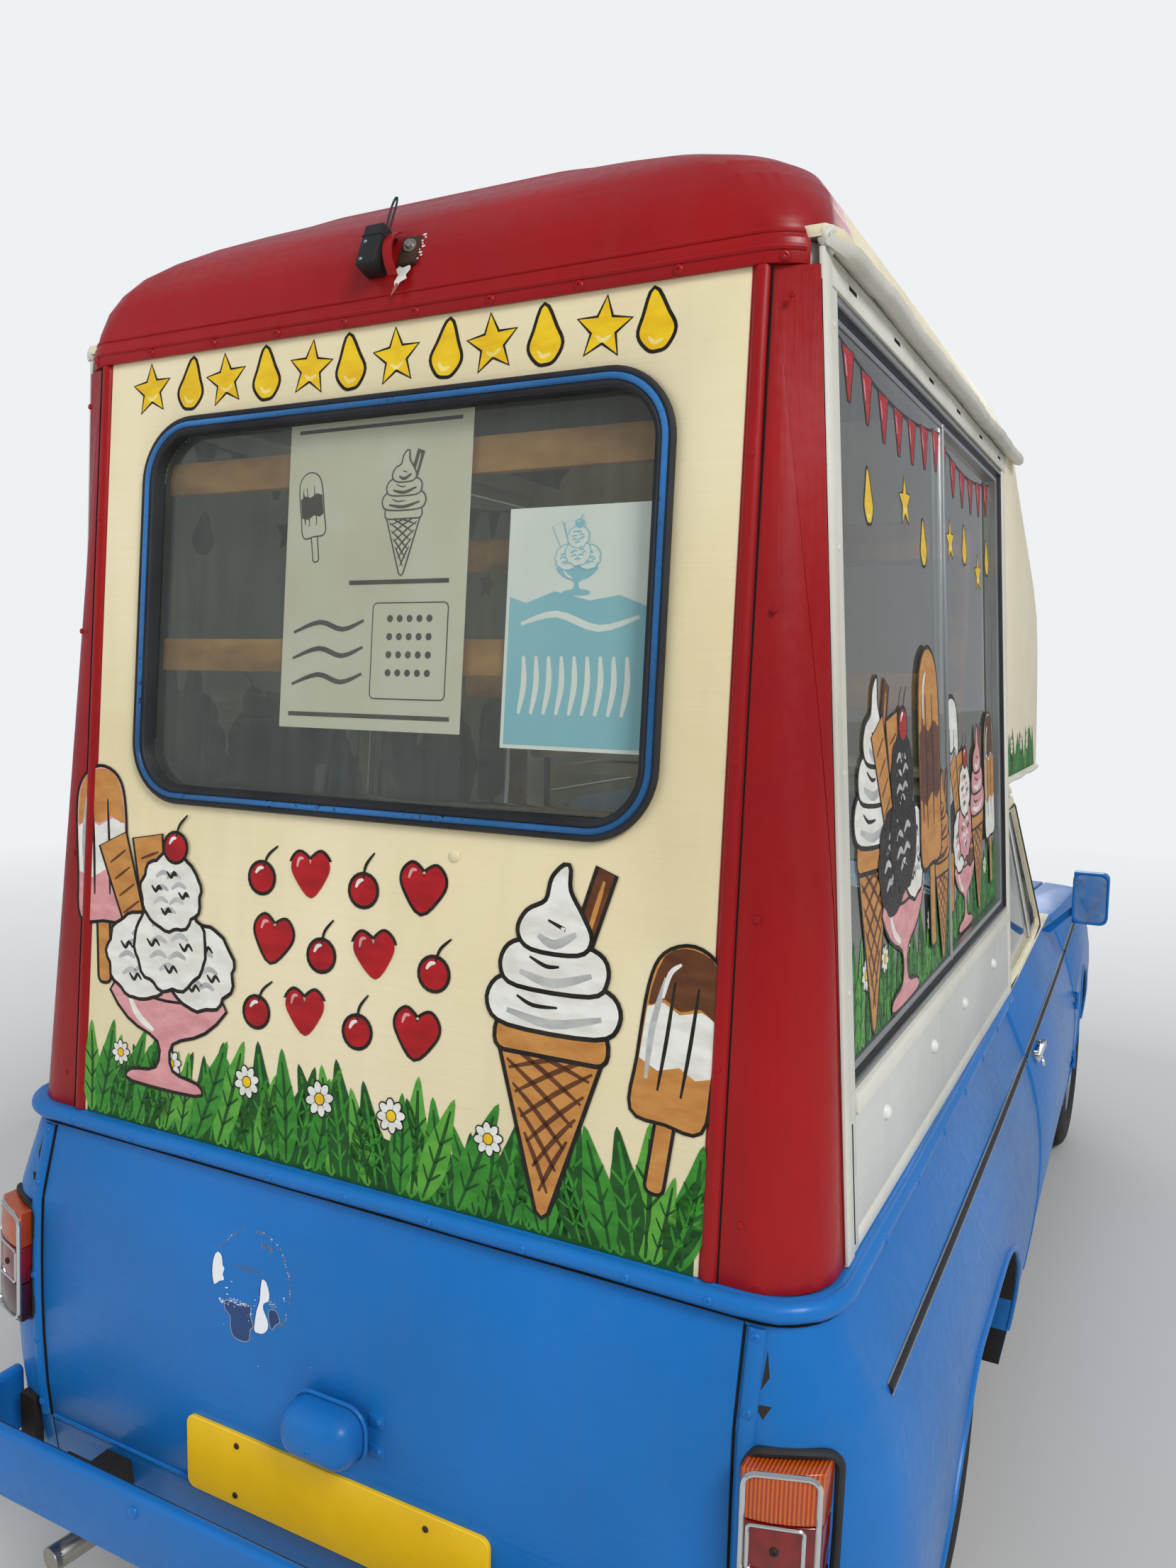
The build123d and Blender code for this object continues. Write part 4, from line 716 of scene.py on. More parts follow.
def filled(node, inputs):
    """Fill a node's inputs, each by name or by its place among those in use, with values or other nodes' outputs."""
    used = [slot for slot in node.inputs if slot.enabled]
    for key, value in inputs.items():
        slot = node.inputs[key] if isinstance(key, str) else used[key]
        if isinstance(value, bpy.types.NodeSocket):
            slot.id_data.links.new(value, slot)
        elif value is not None:
            slot.default_value = [*value, 1.0] if slot.type == "RGBA" and len(value) == 3 else value


def wiring(tree):
    """Adder of shader nodes: it sets a node's properties, fills its inputs in order and gives back its output."""

    def add(kind, *inputs, **settings):
        made = tree.nodes.new(f"ShaderNode{kind}")
        for name, value in settings.items():
            setattr(made, name, value)
        filled(made, dict(enumerate(inputs)))
        ways_out = [slot for slot in made.outputs if slot.enabled]
        return ways_out[0] if ways_out else None

    return add


def new_material(name):
    """Empty material with its adder of nodes, its shader and the object coordinates."""
    made = bpy.data.materials.new(name)
    made.use_nodes = True
    made.node_tree.nodes.clear()
    add = wiring(made.node_tree)
    shader = add("BsdfPrincipled")
    add("OutputMaterial", shader)
    return made, add, shader.node, add("TexCoord").node.outputs["Object"]


def grained(add, place, scale, detail=3.0, stretch=(1, 1, 1), rough=0.5):
    """Pattern of noise with features of about 1/scale metres, drawn out along the axes by stretch."""
    spot = add("Mapping", place, None, None, [scale * s for s in stretch])
    return add("TexNoise", spot, 1.0, detail, rough)


def toned(code):
    """Linear colour of a hex code, or of the setting that is named."""
    return list(getattr(van(), code)) if hasattr(van(), code) else linear(code)


# Which way the brush went over the enamel: its marks are drawn out that way
HORIZONTAL = (0.02, 0.02, 1.0)
VERTICAL = (1.0, 1.0, 0.02)
RAIN_DIRT = "6B6250"


def coach_enamel(name, code, shade, chip, strokes=HORIZONTAL, chipped=0.72, dirt=0.3, gloss=0.3):
    """Coach enamel put on by brush: strokes that show in the gloss, faded patches, chips and rain dirt."""
    made, add, shader, place = new_material(name)
    streak = grained(add, place, 165.0, 2.0, strokes)
    lump = grained(add, place, 26.0, 2.0, (1.0, 1.0, 0.6))
    broad = grained(add, place, 2.6, 3.0)
    fine = grained(add, place, 75.0, 4.0)
    rain = grained(add, place, 22.0, 3.0, (1.0, 1.0, 0.06))
    colour = add("Mix", add("MapRange", broad, 0.35, 0.7), toned(code), toned(shade), data_type="RGBA")
    colour = add("Mix", add("MapRange", streak, 0.35, 0.75, 0.0, 0.22), colour, toned(shade), data_type="RGBA")
    soil = add("Math", add("MapRange", rain, 0.45, 0.85, 0.0, 0.5),
               add("MapRange", broad, 0.4, 0.75, 0.1, dirt * 1.4), operation="MULTIPLY")
    colour = add("Mix", soil, colour, toned(RAIN_DIRT), data_type="RGBA")
    flake = grained(add, place, 95.0, 5.0, rough=0.62)
    chips = add("Math", add("MapRange", flake, chipped, chipped + 0.02),
                add("MapRange", grained(add, place, 5.0, 2.0), 0.52, 0.62), operation="MULTIPLY")
    soiled = add("Math", soil, 0.4, operation="MULTIPLY")
    normal = add("Bump", 0.35, 0.004, None, broad)
    normal = add("Bump", 0.5, 0.0016, None, lump, normal)
    normal = add("Bump", 0.6, 0.0006, None, streak, normal)
    pitted = add("Math", chips, -1.0, operation="MULTIPLY")
    filled(shader, {
        "Base Color": add("Mix", chips, colour, toned(chip), data_type="RGBA"),
        "Roughness": add("Math", add("MapRange", fine, 0.3, 0.8, gloss, gloss + 0.14), soiled, operation="ADD"),
        "Normal": add("Bump", 0.8, 0.0004, None, pitted, normal),
        "Specular IOR Level": 0.24, "Coat Weight": 0.08, "Coat Roughness": 0.14})
    return made


def brush_paint(name, code, other, scale=40.0, gloss=0.42):
    """Signwriter's enamel over the panel: two mixed tones, ridges left by the hair of the brush."""
    made, add, shader, place = new_material(name)
    stroke = grained(add, place, scale, 4.0, (0.55, 0.55, 1.4))
    ridge = grained(add, place, 320.0, 2.0, (0.3, 0.3, 1.0))
    filled(shader, {
        "Base Color": add("Mix", add("MapRange", stroke, 0.38, 0.66), toned(code), toned(other), data_type="RGBA"),
        "Roughness": add("MapRange", ridge, 0.3, 0.7, gloss - 0.06, gloss + 0.12),
        "Normal": add("Bump", 0.6, 0.0004, None, ridge, add("Bump", 0.4, 0.001, None, stroke)),
        "Specular IOR Level": 0.3})
    return made


def dull_solid(name, code, other, scale=40.0, rough=0.7, grain=0.0005, metallic=0.0, specular=0.5):
    """Matt or half-matt material of two close tones with a fine grain: rubber, plastic, cast or coated metal."""
    made, add, shader, place = new_material(name)
    patch = grained(add, place, scale * 0.15, 4.0)
    fine = grained(add, place, scale * 6, 4.0, rough=0.6)
    filled(shader, {
        "Base Color": add("Mix", add("MapRange", patch, 0.4, 0.68), toned(code), toned(other), data_type="RGBA"),
        "Roughness": add("MapRange", patch, 0.3, 0.7, rough - 0.07, rough + 0.08),
        "Normal": add("Bump", 0.6, grain, None, fine),
        "Metallic": metallic, "Specular IOR Level": specular})
    return made


def bright_metal(name, code, rough, pits=0.76, grain=(1, 1, 1), rust="5A3A22"):
    """Plated or drawn metal with pits where the finish has broken through."""
    made, add, shader, place = new_material(name)
    pit = add("MapRange", grained(add, place, 260.0, 4.0, rough=0.65), pits, pits + 0.04)
    haze = grained(add, place, 60.0, 3.0, grain)
    worn = add("Math", pit, 0.4, operation="MULTIPLY")
    bared = add("Math", pit, -0.9, operation="MULTIPLY")
    filled(shader, {
        "Base Color": add("Mix", pit, toned(code), toned(rust), data_type="RGBA"),
        "Roughness": add("Math", add("MapRange", haze, 0.3, 0.8, rough, rough + 0.13), worn, operation="ADD"),
        "Metallic": add("Math", bared, 1.0, operation="ADD"),
        "Normal": add("Bump", 0.4, 0.0002, None, add("Math", haze, pit, operation="SUBTRACT"))})
    return made


def clear_glass(name, code, dusty):
    """Float glass with a film of dust that thickens in patches and streaks; lamps shine through it."""
    made, add, shader, place = new_material(name)
    film = grained(add, place, 3.2, 5.0, rough=0.6)
    streak = grained(add, place, 60.0, 3.0, (1.0, 1.0, 0.08))
    dust = add("Math", add("MapRange", film, 0.3, 0.75, 0.55 * dusty, dusty),
               add("MapRange", streak, 0.4, 0.8, 0.0, 0.35 * dusty), operation="ADD")
    filled(shader, {"Base Color": toned(code), "IOR": 1.5, "Roughness": 0.0,
                    "Transmission Weight": add("Math", 1.0, dust, operation="SUBTRACT")})
    path = add("LightPath").node.outputs
    lamp = add("Math", path["Is Shadow Ray"], path["Is Diffuse Ray"], operation="MAXIMUM")
    mixed = add("MixShader", lamp, shader.outputs["BSDF"], add("BsdfTransparent", toned("F4F6F2")))
    filled(output_of(made), {"Surface": mixed})
    return made


def output_of(material):
    """The output node of a material."""
    return next(node for node in material.node_tree.nodes if node.type == "OUTPUT_MATERIAL")


def lens_plastic(name, code, deep):
    """Moulded acrylic lens: saturated colour with light passing through and a hard shine."""
    made, add, shader, place = new_material(name)
    cloud = grained(add, place, 40.0, 3.0)
    filled(shader, {
        "Base Color": add("Mix", add("MapRange", cloud, 0.35, 0.7), toned(code), toned(deep), data_type="RGBA"),
        "Roughness": add("MapRange", cloud, 0.3, 0.8, 0.1, 0.26),
        "Transmission Weight": 0.35, "IOR": 1.49, "Coat Weight": 0.5})
    return made


def ribbed_lens(name, code, deep, pitch):
    """Lens plastic with upright flutes at that pitch in metres."""
    made, add, shader, place = new_material(name)
    phase = add("Math", add("SeparateXYZ", place), math.tau / pitch, operation="MULTIPLY")
    wave = add("Math", phase, operation="SINE")
    filled(shader, {
        "Base Color": add("Mix", add("MapRange", wave, -1.0, 1.0), toned(deep), toned(code), data_type="RGBA"),
        "Normal": add("Bump", 0.7, pitch * 0.2, None, wave),
        "Roughness": 0.16, "Transmission Weight": 0.15, "IOR": 1.49, "Coat Weight": 0.4})
    return made


# Columns after the key: the record's slot, the maker, the material's name, its colours and its maker's settings
FINISHES = {
    # Deep red synthetic coach enamel: thick strokes, a little faded on the dome
    "red": ("red_paint", coach_enamel, "red_coach_enamel", "coach_red", "8C0D10", "B89A86", HORIZONTAL, 0.745, 0.12),
    "red_upright": ("red_paint", coach_enamel, "red_coach_enamel_upright", "coach_red", "8C0D10", "B89A86", VERTICAL,
                    0.745, 0.12),
    # Cream enamel over primed sheet: warm, with grey dirt in the strokes, and duller on the roof
    "cream": ("cream_paint", coach_enamel, "cream_coach_enamel", "coach_cream", "E2D3A6", "9C937B", HORIZONTAL, 0.76,
              0.16, 0.34),
    "roof_cream": ("cream_paint", coach_enamel, "roof_coach_enamel", "EDE3C6", "E0D4B2", "8C8674", HORIZONTAL, 0.74,
                   0.3, 0.4),
    # White enamel of the window frames and the sheets below them, greyed and worn by hands; the sheets' greyer tone is
    # painted shade
    "white": ("white_paint", coach_enamel, "white_coach_enamel", "E4E1D4", "CFCBBC", "7E776A", HORIZONTAL, 0.72,
              0.45, 0.42),
    "panel_grey_painted_shade": ("white_paint", coach_enamel, "pale_panel_enamel", "CFD0CA", "BFBFB7", "8A8273", HORIZONTAL, 0.76,
                   0.3, 0.42),
    # Mid blue enamel on the steel of the lower body, and the same blue worn thin on the seal's filler strip
    "blue": ("blue_paint", coach_enamel, "blue_coach_enamel", "body_blue", "146AB0", "D6DCE2", HORIZONTAL, 0.75, 0.16),
    "filler_blue": ("blue_paint", coach_enamel, "blue_seal_filler", "3A7DBE", "1E4C74", "17191B", HORIZONTAL, 0.6, 0.2,
                    0.22),
    # Rubbers: seals grey where they have chalked, tyres matt and dusty
    "rubber": ("black_rubber", dull_solid, "seal_rubber", "15161A", "26272A", 60.0, 0.58),
    "tyre": ("tyre", dull_solid, "tyre_rubber", "1B1B1C", "2E2C29", 40.0, 0.82, 0.0004),
    # Moulded plastic with a leather grain: a soft sheen
    "black_plastic": ("black_plastic", dull_solid, "grained_black_plastic", "141414", "1E1E1F", 120.0, 0.5),
    # Float and pressed glass: hard shine, a little green, dust in patches
    "glass": ("glass", clear_glass, "float_glass", "E4E8DF", 0.045),
    "lamp_glass": ("lamp_glass", clear_glass, "pressed_lamp_glass", "F2F4F0", 0.04),
    "mirror": (None, bright_metal, "silvered_glass", "E4E8EA", 0.02, 0.9),
    # Bright metals: pitted plate, brushed bare sheet, zinc gone rusty, and silver lacquer over steel
    "chrome": ("chrome", bright_metal, "worn_chrome_plate", "D8D8D6", 0.08),
    "aluminium": ("aluminium", bright_metal, "mill_aluminium", "B9BBBA", 0.3, 0.82, (1, 0.04, 0.04), "6E6E6A"),
    "steel": ("exhaust_steel", bright_metal, "galvanised_exhaust_steel", "A9A49A", 0.34, 0.66, (1, 1, 1), "6B4630"),
    "silver": ("steel_rim", dull_solid, "silver_wheel_paint", "A8A9A8", "939390", 50.0, 0.42, 0.0002, 0.6),
    # Bitumen underseal: thick, matt, with road dust; and black paint on castings, browned by rust
    "underseal": ("underbody", dull_solid, "bitumen_underseal", "191817", "2B2621", 30.0, 0.8, 0.0012),
    "iron": ("cast_iron", dull_solid, "painted_cast_iron", "2A2420", "47301F", 34.0, 0.68, 0.0008, 0.3),
    # Reflective sheet on the plates: clean yellow with an even shine
    "plate": ("plate_yellow", dull_solid, "reflective_plate_sheet", "FFCE1C", "F7C312", 60.0, 0.32, 0.0001),
    # Sewn seat vinyl with its paler welt
    "vinyl": ("vinyl", dull_solid, "grained_seat_vinyl", "2A1E18", "35281F", 90.0, 0.5, 0.0008),
    "piping": ("vinyl", dull_solid, "pale_seat_piping", "8A7A64", "796A55", 90.0, 0.5, 0.0004),
    # Board and paint of the shop's inside, browned with age, and the lining board darkened further as painted shade
    # for the unlit inside; varnish lets the softwood's grain show
    "lining": (None, dull_solid, "shop_lining_board", "6A6152", "574F42", 30.0, 0.7, 0.0004),
    "trim_board": ("black_plastic", dull_solid, "cab_trim_board", "3A3630", "4A453C", 50.0, 0.7),
    "laminate": ("laminate", dull_solid, "counter_laminate", "D4D2C6", "C6C3B5", 60.0, 0.3, 0.0001),
    "wood": ("wood", brush_paint, "varnished_softwood", "A67A3E", "7E5527", 14.0),
    # Moulded lens plastics: deep colour, hard shine, and flutes inside the amber
    "red_lens": ("tail_lens", lens_plastic, "red_lens_acrylic", "9C0F0C", "6A0806"),
    "dark_lens": ("tail_lens", lens_plastic, "deep_red_lens_acrylic", "5A0A0A", "380606"),
    "amber_lens": ("tail_lens", ribbed_lens, "amber_lens_acrylic", "E8690F", "A83A06", 0.0045),
    # Dark strips in open joints, grooves, slots and gaps: joint dirt, painted shade for their depth, and a painted
    # shadow under torn paper; soot in the tail pipe
    "shadow_gap": (None, dull_solid, "joint_dirt", "12110F", "1E1B17", 60.0, 0.9, 0.0003, 0.0, 0.2),
    "soot": (None, dull_solid, "exhaust_soot", "0B0A0A", "161413", 60.0, 0.95, 0.0003, 0.0, 0.1),
    # Moulded nylon: smooth and a little waxy
    "plug_white": (None, dull_solid, "moulded_white_nylon", "E9E8E1", "D9D7CC", 60.0, 0.4, 0.0001),
    # Printed sheets behind the glass, matt and faded by the sun
    "newsprint": (None, dull_solid, "faded_newsprint", "DCD5C6", "CFC6B4", 40.0, 0.85, 0.0001, 0.0, 0.2),
    "faded_ink": (None, dull_solid, "faded_printing_ink", "3E3934", "4E4842", 60.0, 0.85, 0.0001, 0.0, 0.2),
    "card_white": (None, dull_solid, "white_card", "F4F6F8", "E9EDF0", 40.0, 0.75, 0.0001, 0.0, 0.25),
    "teal": (None, dull_solid, "teal_printing_ink", "8AC8DE", "96D0E4", 40.0, 0.7, 0.0001, 0.0, 0.25),
    # Layers bared by torn paint, and the glue of an old transfer
    "primer": (None, dull_solid, "white_primer", "DDD9CF", "C9C3B6", 60.0, 0.8, 0.0004),
    "brick": (None, dull_solid, "bare_brick_filler", "A2583C", "8B4A33", 60.0, 0.85),
    "old_glue": (None, dull_solid, "browned_glue", "7B6A55", "94836B", 60.0, 0.8, 0.0004),
    "old_blue": (None, dull_solid, "bared_dark_blue_coat", "1B3C6E", "254A80", 50.0, 0.45, 0.0003),
}

# Signwriter's enamels, glossy with brush marks: key, colour in the name, two tones, scale of the marks and gloss
for key, *row in (
    ("ink", "black", "17130F", "2A241C", 46.0, 0.4), ("cloud", "white", "ECEAE2", "DAD7CA"),
    ("dove", "grey", "A9ABA6", "C3C4BD", 40.0, 0.44), ("tan", "biscuit", "C98E49", "B87A3A", 42.0),
    ("brown", "brown", "6A3F21", "55301A", 42.0), ("rose", "pink", "DFA0A0", "CE8A8C"),
    ("scarlet", "red", "B3161C", "971117", 40.0, 0.38), ("lemon", "yellow", "EFC81E", "E3B40F", 40.0, 0.4),
    ("custard", "cream", "F3DF8E", "E9CE6A"), ("leaf", "green", "2E7A24", "3F9130", 44.0, 0.4),
    ("moss", "dark_green", "17481A", "215A1E", 44.0), ("sprout", "light_green", "5FA63A", "4A9230", 44.0, 0.4),
):
    FINISHES[key] = (None, brush_paint, f"signwriters_{row[0]}", *row[1:])
MADE = {}


def finish_of(key):
    """The material of that key, made once."""
    if key not in MADE:
        _, maker, *settings = FINISHES[key]
        MADE[key] = maker(*settings)
    return MADE[key]


# Sizes and colours that a user would change

class VanSettings(bpy.types.PropertyGroup):
    """Sizes and colours of the finish."""

    body_blue: FloatVectorProperty(name="Lower body", description="Blue of the steel below the waist",
                                   subtype="COLOR", default=linear("1A75C4"), min=0.0, max=1.0)
    coach_red: FloatVectorProperty(name="Dome and pillars", description="Red of the dome and the rear corners",
                                   subtype="COLOR", default=linear("A31014"), min=0.0, max=1.0)
    coach_cream: FloatVectorProperty(name="Upper body", description="Cream of the panels above the waist",
                                     subtype="COLOR", default=linear("EFE2BC"), min=0.0, max=1.0)
    tread_blocks: IntProperty(name="Tread blocks", description="Blocks round each shoulder of a tyre",
                              default=64, min=24, max=90)
    picture_line: FloatProperty(name="Outline width", description="Black outline of the painted pictures, in "
                                "millimetres", default=4.5, min=1.0, max=10.0)
    floor_colour: FloatVectorProperty(name="Floor", description="Colour of the studio floor", subtype="COLOR",
                                      default=linear("D9D7D2"), min=0.0, max=1.0)
    key_power: FloatProperty(name="Key light", description="Power of the large lamp", subtype="POWER",
                             default=420.0, min=0.0)


def van():
    """The scene's settings for this van."""
    return bpy.context.scene.van_settings


# Inner faces with a finish of their own. Columns: material, how far behind the skin they lie in millimetres, how
# far they must face inwards, as a cosine, and the frame nodes, each with the side it is seen from
LINED = [
    ("underseal", 14.0, -1.1, ("side_panel_left", "left"), ("side_panel_right", "right"),
     ("front_wing_left", "left"), ("front_wing_right", "right"), ("rear_panel", "rear")),
    ("underseal", 3.0, 0.3, ("rear_bumper", "rear"), ("front_bumper", "front")),
    # The lining's dark tone is partly painted shade for the unlit inside
    ("lining", 6.0, 0.5, ("upper_side_left", "left"), ("upper_side_right", "right"), ("upper_rear_panel", "rear")),
    ("lining", 3.0, 0.2, ("rear_dome", "rear"), ("roof", "top")),
    ("trim_board", 3.0, 0.3, ("cab_shell", "top")),
]

# Frame nodes that are dressed whole. Columns: material, edge rounding in millimetres, the nodes
DRESSED = [
    ("blue", 2.5, "side_panel_left", "side_panel_right", "rear_panel"),
    ("cream", 2.0, "upper_rear_panel"),
    ("white", 2.0, "upper_side_left", "upper_side_right"),
    ("roof_cream", 3.0, "roof", "luton"),
    ("red", 3.0, "rear_dome"),
    ("red_upright", 3.0, "corner_pillars"),
    ("cream", 2.5, "cab_shell"),
    ("blue", 2.5, "front_wing_left", "front_wing_right", "scuttle", "front_panel", "bonnet"),
    ("blue", 2.0, "front_bumper", "rear_bumper"),
    ("blue", 6.0, "waist_moulding"),
    ("glass", 0.0, "window_glass", "door_glass_left", "door_glass_right"),
    ("aluminium", 1.5, "side_window_rails", "grille"),
    ("rubber", 3.0, "rear_window_seal"),
    ("steel", 1.0, "exhaust"),
    ("underseal", 2.0, "floor_pan", "chassis_rails", "fuel_tank"),
    ("iron", 1.0, "towing_eyes", "track_rod"),
    ("iron", 2.0, "rear_axle", "front_suspension", "knuckle_left", "knuckle_right"),
    ("iron", 3.0, "engine_block"),
    ("black_plastic", 4.0, "dashboard"),
    ("black_plastic", 2.0, "steering_wheel"),
    ("laminate", 3.0, "serving_counter"),
    ("wood", 2.0, "shelves"),
    ("silver", 1.0, "rim_front_left", "rim_front_right", "rim_rear_left", "rim_rear_right"),
]


class VAN_OT_dress_frame(bpy.types.Operator):
    """Smooth, finished copies of the frame's rigid pieces"""

    bl_idname = "van.dress_frame"
    bl_label = "Dress the frame"

    def execute(self, context):
        for key, soft, *nodes in DRESSED:
            for node in nodes:
                dressed(node, f"{node}_finished", key, soft)
        for key, depth, inward, *places in LINED:
            for node, look in places:
                lined(bpy.data.objects[f"{node}_finished"], node, look, key, depth, inward)
        below, above, behind, before = (0, 0, 1), (0, 0, -1), (0, -1, 0), (0, 1, 0)
        waist, split = (0, 0, 896), (0, 100, 0)
        for _, side in SIDES[::-1]:
            door, trim = f"door_{side}", f"door_trim_{side}"
            shell = dressed(door, f"{door}_shell", "blue", 2.5, [(waist, below)])
            lined(shell, door, side, "trim_board", 20.0, 0.6)
            dressed(door, f"{door}_window_frame", "cream", 2.0, [(waist, above)])
            dressed(trim, f"mirror_shell_{side}", "blue", 3.0, [(split, behind)])
            dressed(trim, f"door_handle_{side}", "chrome", 2.0, [(split, before)])
        for name, *cuts in (("amber", ((0, 0, 703), above)),
                            ("red", ((0, 0, 702), below), ((0, 0, 645), above)),
                            ("dark", ((0, 0, 644), below))):
            dressed("tail_lamps", f"tail_lenses_{name}", f"{name}_lens", 2.5, cuts)
        return {"FINISHED"}


class VAN_OT_rear_window(bpy.types.Operator):
    """Lips and filler strip of the rear window's seal, and the two sheets hung behind the glass"""

    bl_idname = "van.rear_window"
    bl_label = "Rear window"

    def execute(self, context):
        for inset, radius, out, name, key in ((2.5, 5.0, 3.8, "outer_lip", "rubber"),
                                              (10, 4.4, 6.6, "filler", "filler_blue"),
                                              (18, 5.0, 4.0, "inner_lip", "rubber")):
            outline = oblong((-430 + inset, 430 - inset), (1413 + inset, 1973 - inset), 90 - inset, 12)
            line = [rear_wall(u, v, out) for u, v in outline]
            settled(hoop(line, radius), f"window_seal_{name}", key)

        # Two planed rails across the opening inside, which carry the sheets
        rails = [slab(rear_wall, (-500, 500), z, (-45, -25.5), 1.5) for z in ((1606, 1653), (1866, 1913))]
        settled(rails, "rear_window_rails", "wood")

        back, front = -19.4, -18.8

        def printed(u, v, out):
            return rear_wall(u, v, out + front)

        # Old newspaper sheet with rules, a block of grey and a cone; nothing on it reads
        settled(slab(rear_wall, (-166, 139), (1530, 1960), (back, front)), "old_sheet", "newsprint")
        rules = ((-150, 122, 1936, 1941), (-150, 122, 1546, 1552), (-52, 112, 1726, 1732))
        shapes = [("faded_ink", 0, [(left, foot), (right, foot), (right, top), (left, top)])
                  for left, right, foot, top in rules]
        for motif, x, z, size, turn in ((wafer_cone(), 34, 1738, 0.5, 0),
                                        (lolly("tan", "brown", "tan", "brown"), -112, 1760, 0.42, 8)):
            shapes += shifted(recoloured(motif, ("cloud", "tan"), "newsprint", "faded_ink"), x, z, size, turn)
        shapes += inked("newsprint", 0, oblong((-8, 112), (1574, 1700), 6, 3), 1.8)
        shapes += [("faded_ink", 2, oval(20 + 16 * (k % 5), 1680 - 24 * (k // 5), 5, 5, 10)) for k in range(20)]
        shapes += [("faded_ink", 1, stroke([(-146, z), (-100, z + 14), (-60, z + 4), (-24, z + 16)], 7))
                   for z in (1590, 1626, 1662)]
        painted("old_sheet_print", recoloured(shapes, ("newsprint",), "newsprint", "faded_ink"), printed)

        # White card with a band of teal hills and a dish of ice
        settled(slab(rear_wall, (201, 407), (1516, 1816), (back, front)), "white_card", "card_white")
        hills = [(206, 1521), (402, 1521), (402, 1690), (360, 1706), (320, 1700), (270, 1712), (230, 1698),
                 (206, 1706)]
        shapes = [("teal", 0, hills)]
        shapes += recoloured(shifted(sundae(), 300, 1708, 0.27, 0, 1), ("ink", "dove", "scarlet", "rose"), "teal",
                             "card_white")
        shapes += shifted([("card_white", 2, stroke([(-80, 0), (-30, 12), (30, -6), (84, 8)], 9))], 304, 1672)
        shapes += [("card_white", 3, stroke([(226 + 18 * k, 1560), (232 + 18 * k, 1596), (230 + 18 * k, 1632)], 8))
                   for k in range(9)]
        painted("white_card_print", shapes, printed)
        return {"FINISHED"}


